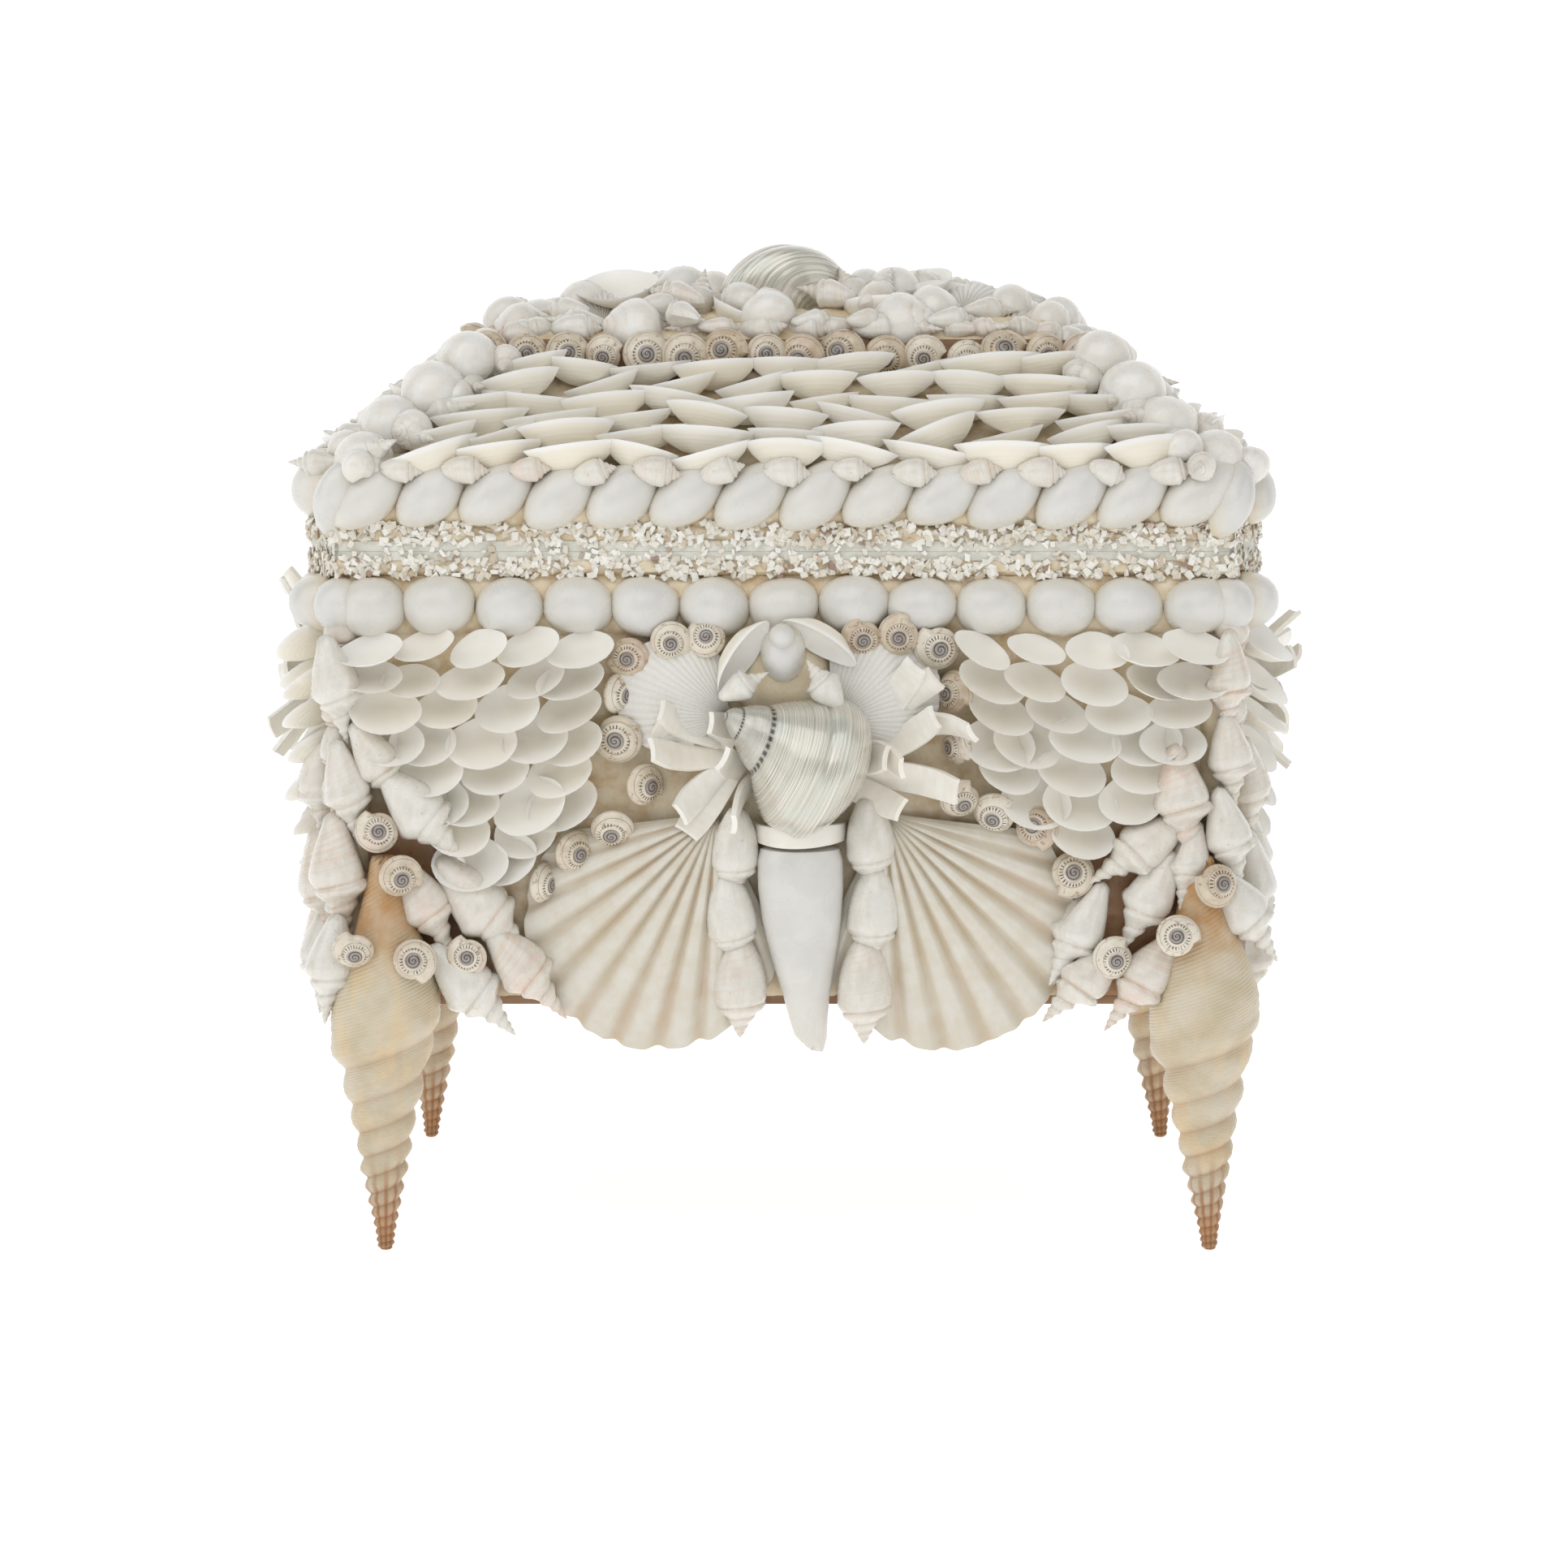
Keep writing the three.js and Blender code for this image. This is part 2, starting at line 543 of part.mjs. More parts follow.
// Moon snails and conches along the four hips.
function addRidges() {
  for (const [corner, [sx, sy]] of Object.entries(CORNERS)) {
    const foot = vec(sx * BOX.x, sy * BOX.y, LID.eaves);
    const head = vec(sx * PLATFORM.x, sy * PLATFORM.y, LID.brow);
    const up = head.clone().sub(foot).normalize();
    const out = vec(sx * RISE, sy * RISE, LID.inset * 2).normalize();
    const along = up.clone().cross(out);
    const length = head.distanceTo(foot);
    const on = { origin: foot, along, up, out };
    const shells = [lay(beads(RIDGE.count, RIDGE), at(on, 0, length / 2, -2, 90))];
    add("ridge_" + corner, COLOR.white, shells);
  }
}

// Cockles, conches and moon snails heaped on the top, round the big turban.
function addHeap() {
  add("top_turban", COLOR.pearl, [lay(turban(42, 44), at(TOP, -1, 0, 10, 80))], { roughness: 0.12 });
  const mound = frustum({ x: HEAP.x + 4, y: HEAP.y + 8 }, 0, { x: HEAP.x - 12, y: 10 }, HEAP.rise);
  const shells = [lay(mound, at(TOP, 0, 0))];
  const kinds = {
    conch: (u, v, lift, turn) => lay(conch(26, 14, 4), at(TOP, u, v, lift + 3, turn)),
    moon: (u, v, lift) => lay(dome(24, 22, 12, 5), at(TOP, u, v, lift)),
    cockle: (u, v, lift) => lay(fan(12.5, 8, 3), at(TOP, u, v, lift + 1, v < 0 ? 0 : 180, v < 0 ? 42 : -42)),
  };
  const rows = [
    [-HEAP.y, "conch moon cockle conch moon cockle conch"],
    [0, "moon conch moon cockle moon conch moon"],
    [HEAP.y, "conch moon cockle conch moon cockle conch"],
  ];
  for (const [v, row] of rows)
    row.split(" ").forEach((kind, i) => {
      const u = -HEAP.x + (2 * HEAP.x * i) / (HEAP.columns - 1);
      const lift = v ? HEAP.rise / 4 : HEAP.rise;
      shells.push(kinds[kind](u, v + 3 * jitter(i), lift, 90 + 60 * jitter(i + v)));
    });
  add("lid_top_shells", COLOR.white, shells);
}

// Rows of narrow halves on the slopes, their rims level.
const SLOPE_GRIDS = { front: [9, 4], back: [6, 3], left: [4, 3], right: [4, 3] };
function addBoats() {
  for (const side of SIDES) {
    const [columns, rows] = SLOPE_GRIDS[side];
    const foot = half(BOX, side) - 18;
    const brow = foot - 34;
    const outline = [[foot, 9], [brow, SLOPE_LENGTH - 4], [-brow, SLOPE_LENGTH - 4], [-foot, 9]];
    const shells = field(slopeOf(side), outline, columns, rows, BOAT);
    add("slope_shells_" + side, COLOR.white, [shells], { yields: false });
  }
}

addWoodwork();
addBands();
addMoonRows();
addOvalRows();
addLegs();
addFigure();
addArcs();
addClusters();
addFlowers();
addBorders();
addRidges();
addHeap();
addBoats();
addCups();
addStrips();

export default group;
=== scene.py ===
import math

import bpy
import numpy as np
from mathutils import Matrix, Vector


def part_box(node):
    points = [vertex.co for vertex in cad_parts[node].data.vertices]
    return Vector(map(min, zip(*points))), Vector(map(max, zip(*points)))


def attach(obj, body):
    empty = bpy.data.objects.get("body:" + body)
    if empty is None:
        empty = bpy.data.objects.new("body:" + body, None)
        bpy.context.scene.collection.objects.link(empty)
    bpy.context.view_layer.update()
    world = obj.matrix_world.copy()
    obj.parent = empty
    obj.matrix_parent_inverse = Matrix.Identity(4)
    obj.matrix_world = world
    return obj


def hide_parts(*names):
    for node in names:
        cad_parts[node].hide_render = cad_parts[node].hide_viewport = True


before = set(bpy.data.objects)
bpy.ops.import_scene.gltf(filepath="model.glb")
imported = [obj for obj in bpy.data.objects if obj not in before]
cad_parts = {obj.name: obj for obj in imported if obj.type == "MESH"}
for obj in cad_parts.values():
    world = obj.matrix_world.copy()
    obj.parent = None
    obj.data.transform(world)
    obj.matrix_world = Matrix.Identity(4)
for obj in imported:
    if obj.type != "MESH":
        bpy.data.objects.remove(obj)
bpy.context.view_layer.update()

# The looks of the shell box: every shell is modelled here, over the solids of the CAD part.
# Sizes and places are in millimetres until a mesh is made, +Z up, the front towards -Y.

# ---- Places taken from the CAD part ----


def span(node):
    """Lowest and highest corner of a CAD node, in millimetres."""
    return [np.array(corner) * 1000 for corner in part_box(node)]


def level(node):
    """The height of the middle of a CAD node."""
    low, high = span(node)
    return (low[2] + high[2]) / 2


def unit(vector):
    return vector / np.linalg.norm(vector)


class Face:
    """A face to lay shells on: an origin, and the directions along it, up it and out of it."""

    def __init__(self, origin, along, up):
        self.origin, self.along, self.up = (np.array(vector, float) for vector in (origin, along, up))
        self.out = np.cross(self.along, self.up)

    def at(self, u, v, lift):
        return self.origin + self.along * u + self.up * v + self.out * lift


HALF_X, HALF_Y, _ = span("box_body")[1]
EAVES, BROW, LID_INSET = 250.0, 283.0, 44.0
SLOPE_LENGTH = math.hypot(BROW - EAVES, LID_INSET)
MOON_LEVEL, OVAL_LEVEL, BORDER_LEVEL = map(level, ("moon_row_front", "oval_row_front", "button_border_front"))
WALLS = {
    "front": Face((0, -HALF_Y, 0), (1, 0, 0), (0, 0, 1)),
    "right": Face((HALF_X, 0, 0), (0, 1, 0), (0, 0, 1)),
    "back": Face((0, HALF_Y, 0), (-1, 0, 0), (0, 0, 1)),
    "left": Face((-HALF_X, 0, 0), (0, -1, 0), (0, 0, 1)),
}
SIDES = list(WALLS)
FRONT = WALLS["front"]
TOP = Face((0, 0, span("lid_shell")[1][2]), (1, 0, 0), (0, 1, 0))
HANDS = {"left": -1, "right": 1}
CORNERS = {"front_left": (-1, -1), "front_right": (1, -1), "back_left": (-1, 1), "back_right": (1, 1)}


def broad(side):
    return side in ("front", "back")


def half_width(side):
    return HALF_X if broad(side) else HALF_Y


def proud(side):
    """How far the rows round the wood are set off it: the glue is thicker on the short sides."""
    return 0.0 if broad(side) else 5.0


def slope_of(side):
    wall = WALLS[side]
    up = np.array([0, 0, BROW - EAVES]) - wall.out * LID_INSET
    return Face(wall.origin + [0, 0, EAVES], wall.along, unit(up))


# ---- Parts, and placing them ----

X, Y, Z = range(3)
FULL_TURN = 6.2832


def spin(axis, degrees):
    """The matrix of a turn about X, Y or Z."""
    c, s = math.cos(math.radians(degrees)), math.sin(math.radians(degrees))
    j, k = (axis + 1) % 3, (axis + 2) % 3
    matrix = np.eye(3)
    matrix[j, j] = matrix[k, k] = c
    matrix[j, k], matrix[k, j] = -s, s
    return matrix


class Part:
    """A piece of mesh: points, and faces with five looks at each corner, for quads and then for triangles."""

    LOOKS = ("spire", "groove", "coil", "turn", "tone")

    def __init__(self, points, faces, looks):
        self.points, self.faces, self.looks = points, faces, looks

    def flipped(self):
        return Part(self.points, *([item[:, ::-1] for item in items] for items in (self.faces, self.looks)))

    def moved(self, matrix, offset, tone=None):
        """The same part turned and scaled by a 3 by 3 matrix, and then shifted."""
        part = Part(self.points @ np.asarray(matrix).T + offset, self.faces, [look.copy() for look in self.looks])
        if tone is not None:
            for look in part.looks:
                look[..., 4] = tone
        return part.flipped() if np.linalg.det(matrix) < 0 else part


def lay(part, on, u, v, lift=0.0, turn=0.0, tip=0.0, roll=0.0, size=1.0, tone=0.0):
    """Puts a part on a face: turned in it, tipped to open upwards, then rolled about its own length."""
    basis = np.column_stack([on.along, on.up, on.out])
    matrix = basis @ spin(Z, turn) @ spin(X, -tip) @ spin(Y, roll) @ np.diag(np.broadcast_to(size, 3))
    return part.moved(matrix, on.at(u, v, lift), tone)


def sew(points, looks, smallest=1e-4):
    """A part from a grid of points, given as its x, y and z. Points in one place become one point."""
    points = np.stack(np.broadcast_arrays(*points), -1)
    rows, columns = points.shape[:2]
    values = np.zeros((rows, columns, 5))
    for k, look in enumerate(looks):
        values[..., k] = look
    flat, values = points.reshape(-1, 3), values.reshape(-1, 5)
    key = np.round(flat / smallest).astype(np.int64) @ np.array([73856093, 19349663, 83492791])
    _, first, merged = np.unique(key, return_index=True, return_inverse=True)
    merged = merged.reshape(-1)
    index = np.arange(rows * columns).reshape(rows, columns)
    cells = np.stack([index[:-1, :-1], index[1:, :-1], index[1:, 1:], index[:-1, 1:]], -1).reshape(-1, 4)
    corners = merged[cells]
    same = corners == np.roll(corners, -1, axis=1)
    crossed = (corners[:, 0] == corners[:, 2]) | (corners[:, 1] == corners[:, 3])
    whole, short = ((same.sum(axis=1) == count) & ~crossed for count in (0, 1))
    keep = np.array([[1, 2, 3], [0, 2, 3], [0, 1, 3], [0, 1, 2]])[same[short].argmax(axis=1)]
    keep = np.take_along_axis(cells[short], keep, axis=1)
    part = Part(flat[first], [corners[whole], merged[keep]], [values[cells[whole]], values[keep]])
    quads, triangles = part.faces
    a, b, c = part.points[np.concatenate([quads[:, [0, 1, 2]], quads[:, [0, 2, 3]], triangles]).T]
    inside_out = np.einsum("ij,ij->i", a, np.cross(b, c)).sum() < 0
    return part.flipped() if inside_out else part


def curve(knots, x):
    """A smooth curve through knots (x, y)."""
    xs, ys = np.array(knots, float).T
    rise = np.diff(ys) / np.diff(xs)
    slope = np.gradient(ys, xs)
    least = 3 * np.minimum(np.abs(rise[:-1]), np.abs(rise[1:])) * (rise[:-1] * rise[1:] > 0)
    slope[1:-1] = np.clip(slope[1:-1], -least, least)
    slope[0], slope[-1] = rise[0], rise[-1]
    i = np.clip(np.searchsorted(xs, x) - 1, 0, len(xs) - 2)
    step = xs[i + 1] - xs[i]
    t = np.clip((x - xs[i]) / step, 0, 1)
    return (ys[i] * (1 + 2 * t) * (1 - t) ** 2 + slope[i] * step * t * (1 - t) ** 2
            + ys[i + 1] * t * t * (3 - 2 * t) - slope[i + 1] * step * t * t * (1 - t))


def ease(low, high, x):
    t = np.clip((x - low) / (high - low), 0, 1)
    return t * t * (3 - 2 * t)


def waves(x, y, scale, seed):
    """A smooth bumpy field between about -1 and 1, with bumps about scale across."""
    rng = np.random.default_rng(seed)
    total = 0
    for _ in range(7):
        angle, phase, k = rng.uniform(0, 6.28), rng.uniform(0, 6.28), rng.uniform(0.6, 1.6)
        total = total + np.sin((x * math.cos(angle) + y * math.sin(angle)) * k * 3.14 / scale + phase)
    return total / 3.5


class Draw:
    """Random draws from a seed: a number between two, a number near 0, or one of a kind."""

    def __init__(self, seed):
        self.rng = np.random.default_rng(seed)

    def __call__(self, low, high, size=None):
        return self.rng.uniform(low, high, size)

    def near(self, reach):
        return self.rng.uniform(-reach, reach)

    def pick(self, kinds):
        return kinds[self.rng.integers(len(kinds))]


# ---- Shells ----


def circle(columns):
    return np.linspace(0, 2 * np.pi, columns + 1)[:, None]


def snail(shape, length, width, whorls, growth, spire, columns, rows, bulge=0.05, cords=0, cord=0.0, knobs=0,
          knob=0.0, knob_end=9.0, lip=200.0, flare=0.0, mouth=0.0, peak=0.5, breadth=0.23, smooth_from=0.1,
          roundness=0.75):
    """A coiled shell: the tip at the origin, growing along +Z. The shape is its silhouette, (height, radius).

    Its rows of faces follow the coil, so that the sutures, cords and knobs run as they do on a real shell.
    """
    outline = np.array(shape, float) * [length, width]
    spire, total = spire * length, outline[-1, 0]
    first = spire / (growth**whorls - 1)
    end = math.log(total / first + 1) / math.log(growth)
    turn = np.arange(columns + 1)[:, None] / columns
    coil = np.arange(-rows, math.ceil(end * rows) + 1)[None, :] / rows
    u = np.clip(coil + turn, 0, end)
    height = first * (growth**u - 1)
    phase = coil % 1
    angle = 2 * np.pi * turn
    fade = 1 - ease(whorls + smooth_from, whorls + smooth_from + 0.6, u)
    swell = np.sin(np.pi * phase ** (math.log(0.5) / math.log(peak))) ** roundness - 0.45
    crest = np.exp(-(((phase - peak) / breadth) ** 2)) * (1 - ease(knob_end, knob_end + 1.2, u)) * ease(0.3, 1.2, u)
    body = ease(whorls, whorls + 0.8, u)
    near_mouth = np.exp(-((((turn - lip / 360 + 0.5) % 1 - 0.5 - 0.06) / 0.07) ** 2))
    slot = near_mouth * body * np.sin(np.pi * np.clip((height - spire) / (total - spire), 0, 1)) ** 0.6
    change = bulge * fade * swell
    change = change + cord * np.cos(2 * np.pi * cords * coil) * ease(0.5, 1.5, u)
    change = change + knob * crest * (0.5 + 0.5 * np.cos(knobs * angle)) ** 1.4
    change = change + flare * ((turn - lip / 360) % 1 - 0.5) * body
    radius = curve(outline, height) * (1 + change - mouth * slot)
    suture = np.exp(-np.minimum(phase, 1 - phase) / 0.09) * fade
    groove = np.clip(suture + 0.8 * (mouth > 0) * slot, 0, 1)
    return sew((radius * np.cos(angle), radius * np.sin(angle), height), (u / end, groove, coil, turn))


def lying(part, length):
    """A shell that lies along Y, its tip towards +Y."""
    return part.moved(spin(X, 90), (0, length / 2, 0))


CONCH_OUTLINE = [(0, 0), (0.03, 0.028), (0.10, 0.075), (0.18, 0.13), (0.26, 0.195), (0.32, 0.255), (0.37, 0.335),
                 (0.41, 0.42), (0.45, 0.48), (0.51, 0.5), (0.60, 0.475), (0.71, 0.40), (0.82, 0.30), (0.91, 0.21),
                 (0.975, 0.14), (1, 0)]
BUD_OUTLINE = [(0, 0), (0.03, 0.05), (0.09, 0.115), (0.16, 0.19), (0.23, 0.30), (0.30, 0.42), (0.38, 0.485),
               (0.47, 0.5), (0.60, 0.475), (0.74, 0.41), (0.86, 0.31), (0.94, 0.22), (0.985, 0.13), (1, 0)]
TURBAN_OUTLINE = [(0, 0), (0.02, 0.035), (0.07, 0.08), (0.15, 0.14), (0.26, 0.215), (0.36, 0.285), (0.44, 0.355),
                  (0.53, 0.435), (0.63, 0.49), (0.74, 0.495), (0.85, 0.425), (0.94, 0.27), (0.98, 0.15), (1, 0)]
BUTTON_OUTLINE = [(0, 0), (0.04, 0.1), (0.12, 0.2), (0.25, 0.32), (0.42, 0.43), (0.6, 0.495), (0.78, 0.46),
                  (0.92, 0.3), (1, 0)]
MOON_OUTLINE = [(0, 0), (0.03, 0.07), (0.09, 0.15), (0.2, 0.29), (0.36, 0.43), (0.56, 0.5), (0.76, 0.45),
                (0.92, 0.28), (1, 0)]
LEG_OUTLINE = [(0, 0), (0.4, 1.6), (2, 2.3), (4, 2.45), (7, 2.8), (10, 3.3), (14, 3.95), (18, 4.7), (22, 5.25),
               (26, 6.1), (30, 6.8), (35, 7.8), (40, 8.7), (45, 9.6), (50, 10.8), (55, 11.8), (60, 12.6),
               (65, 14.0), (70, 15.8), (76, 17.3), (82, 17.5), (89, 16.2), (97, 13.6), (105, 10.9), (118, 7.0),
               (126, 5.2), (131.5, 3.8), (132, 0)]


def conch(length, width, columns, rows, knob, lip, whorls=5, shape=CONCH_OUTLINE, spire=0.40, bulge=0.2):
    """A small conch: a smooth oval body and a stepped, knobbly spire, lying along Y."""
    return lying(snail(shape, length, width, whorls, 1.42, spire, columns, rows, bulge=bulge, knobs=11, knob=knob,
                       knob_end=whorls + 0.2, lip=lip, flare=0.13, mouth=0.25, peak=0.66, smooth_from=0.25), length)


def turban(length, width):
    """A polished turban shell, lying along Y."""
    return lying(snail(TURBAN_OUTLINE, length, width, 3, 1.9, 0.52, 64, 24, bulge=0.12, lip=215, flare=0.24,
                       mouth=0.15), length)


def button(width, columns, rows):
    """A flat round snail with a fine spiral, its tip towards +Z, resting on z = 0."""
    height = 0.52 * width
    part = snail(BUTTON_OUTLINE, height, width, 4, 1.75, 0.27, columns, rows, bulge=0.07, lip=30, flare=0.30)
    return part.moved(spin(X, 180), (0, 0, height))


def moon_snail(width, columns, rows):
    """A globe-shaped snail with a low spire, lying along Y."""
    length = 0.98 * width
    return lying(snail(MOON_OUTLINE, length, width, 3, 1.8, 0.2 / 0.98, columns, rows, bulge=0.075, lip=230,
                       flare=0.2, mouth=0.3), length)


def pebble(width, height, depth, egg=0.0, point=2.0, columns=24):
    """A smooth shell back: an egg outline on z = 0, domed towards +Z, and tucked in behind."""
    t = circle(columns)
    latitude = np.radians(np.concatenate([[-90, -45, -18], np.linspace(0, 90, 7)]))
    reach = (np.abs(np.cos(t) * 2 / width) ** point + np.abs(np.sin(t) * 2 / height) ** point) ** (-1 / point)
    ring = reach * np.cos(latitude) ** 0.9
    x, y = ring * np.cos(t), ring * np.sin(t)
    z = np.where(latitude < 0, 0.3, 1.0) * depth * np.sin(latitude)
    return sew((x * (1 + egg * y / height), y, z), (np.cos(latitude), 1 - ease(0, 0.5, latitude), 0, t / FULL_TURN))


def cup(width, length, depth, pointed=0.0, columns=28, rings=6, wall=0.55, seed=0):
    """Half a clam: hinge at the origin, running along +Y, hollow towards +Z."""
    t = circle(columns)
    s = np.concatenate([np.linspace(0, 1, rings), [1.0], np.linspace(1, 0, rings)[1:]])
    outer = np.concatenate([np.zeros(rings), [0.5], np.ones(rings - 1)])
    a, b, c = np.random.default_rng(seed).uniform(0, 6.28, 3)
    uneven = 1 + 0.018 * np.sin(2 * t + a) + 0.012 * np.sin(3 * t + b) + 0.006 * np.sin(9 * t + c)
    hinge = np.clip(-np.sin(t), 0, 1) ** 3
    x = width / 2 * np.cos(t) * (1 - 0.22 * hinge) * uneven * s
    y = length / 2 * np.sin(t) * np.abs(np.sin(t)) ** pointed * (1 + 0.05 * hinge) * uneven * s
    y = y - 0.16 * length * (1 - s) + length / 2
    z = -depth * (1 - s**2.1) ** 0.85 - wall * outer * (0.35 + 0.65 * (1 - s))
    tooth = np.exp(-((x / 2.2) ** 2) - (((y - 0.1 * length) / 1.4) ** 2)) * (outer == 0)
    growth = 0.35 * wall * np.sin(14 * s + a) * (outer == 1) * s * (1 - s) * 3
    z = z + 0.07 * depth * tooth * s - growth + 0.045 * depth * np.sin(t) * s**3
    return sew((x, y, z), (s, (1 - s) * outer, outer, t / FULL_TURN))


def fan(radius, height, ribs, spread, rib, per_rib, rings, wall, edge):
    """A ribbed fan shell: its beak at the origin, opening along +Y, domed towards +Z."""
    t = np.linspace(-1, 1, ribs * per_rib + 1)[:, None]
    s = np.concatenate([np.linspace(0, 1, rings), np.linspace(1, 0, rings)])
    inner = np.repeat([0.0, 1.0], rings)
    theta = np.radians(spread) * t
    wave = 1 - 2 * (0.5 - 0.5 * np.cos(np.pi * ribs * t)) ** 2.6
    r = 2 * radius * np.cos(theta) ** 0.95 * (1 + edge * wave * (1 - t**8)) * s
    side = (1 - np.abs(t) ** 5) ** 0.8
    dome = np.sin(np.pi * s**0.55 * 0.93) ** 0.85
    z = height * dome * (0.45 + 0.55 * side) * np.cos(theta * 0.75)
    z = z + rib * wave * ease(0, 0.35, s) * side - inner * wall * side * ease(0, 0.12, s)
    groove = (0.5 - 0.5 * wave) * (inner == 0) * side
    return sew((r * np.sin(theta), r * np.cos(theta), z), (s, groove, ribs * (t + 1) / 2, t))


def ribbon(path, widths, thickness=1.5, dish=0.12):
    """A strip cut from a shell: it follows a path of (along, out) points from the origin, along +Y, out +Z."""
    t = np.linspace(0, 1, 12)
    y, z = (curve(np.column_stack([np.linspace(0, 1, len(path)), ends]), t) for ends in np.array(path, float).T)
    width = np.interp(t, np.linspace(0, 1, len(widths)), widths)
    dy, dz = np.gradient(y), np.gradient(z)
    size = np.hypot(dy, dz)
    across = np.array([-1, -0.5, 0, 0.5, 1, 1, 0.5, 0, -0.5, -1, -1])[:, None] / 2
    over = np.array([1, 1, 1, 1, 1, -1, -1, -1, -1, -1, 1])[:, None] / 2
    off = over * thickness - dish * width * (2 * across) ** 2
    points = np.stack([across * width, y - dz / size * off, z + dy / size * off], -1)
    middle = points[:-1].mean(axis=0)
    caps = [np.repeat(middle[None, [k]], len(across), axis=0) for k in (0, -1)]
    points = np.concatenate([caps[0], points, caps[1]], axis=1)
    return sew(points.transpose(2, 0, 1), (np.concatenate([[0], t, [1]]), 0, over))


def turned(profile, columns):
    """A plain body turned about Z: profile of (height, radius)."""
    t = circle(columns)
    heights, radii = np.array(profile, float).T
    return sew((radii * np.cos(t), radii * np.sin(t), heights), (heights / heights[-1], 0, 0, t / FULL_TURN))


# ---- Meshes ----


def make(name, parts, material, slot, replaces=(), sharp=50):
    """One Blender object from parts, with their looks as corner attributes."""
    shift = np.cumsum([0] + [len(p.points) for p in parts])
    points = np.concatenate([p.points for p in parts]) / 1000
    quads, triangles = (np.concatenate([p.faces[k] + first for p, first in zip(parts, shift)]) for k in (0, 1))
    looks = np.concatenate([p.looks[k].reshape(-1, 5) for k in (0, 1) for p in parts])
    corners = np.concatenate([quads.reshape(-1), triangles.reshape(-1)])
    starts = np.concatenate([np.arange(len(quads)) * 4, quads.size + np.arange(len(triangles)) * 3])
    mesh = bpy.data.meshes.new(name)
    mesh.vertices.add(len(points))
    mesh.vertices.foreach_set("co", points.astype(np.float32).reshape(-1))
    mesh.loops.add(len(corners))
    mesh.loops.foreach_set("vertex_index", corners.astype(np.int32))
    mesh.polygons.add(len(starts))
    mesh.polygons.foreach_set("loop_start", starts.astype(np.int32))
    mesh.update(calc_edges=True)
    for k, look in enumerate(Part.LOOKS):
        mesh.attributes.new(look, "FLOAT", "CORNER").data.foreach_set("value", looks[:, k].astype(np.float32))
    mesh.validate()
    mesh.shade_smooth()
    mesh.set_sharp_from_angle(angle=math.radians(sharp))
    mesh.materials.append(material)
    piece = bpy.data.objects.new(name, mesh)
    bpy.context.scene.collection.objects.link(piece)
    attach(piece, "root")
    if replaces:
        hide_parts(*replaces)


# ---- Materials ----


def linear(red, green, blue):
    """A screen colour, 0 to 255, as the shader's linear colour."""
    return tuple(((c / 255 + 0.055) / 1.055) ** 2.4 for c in (red, green, blue))


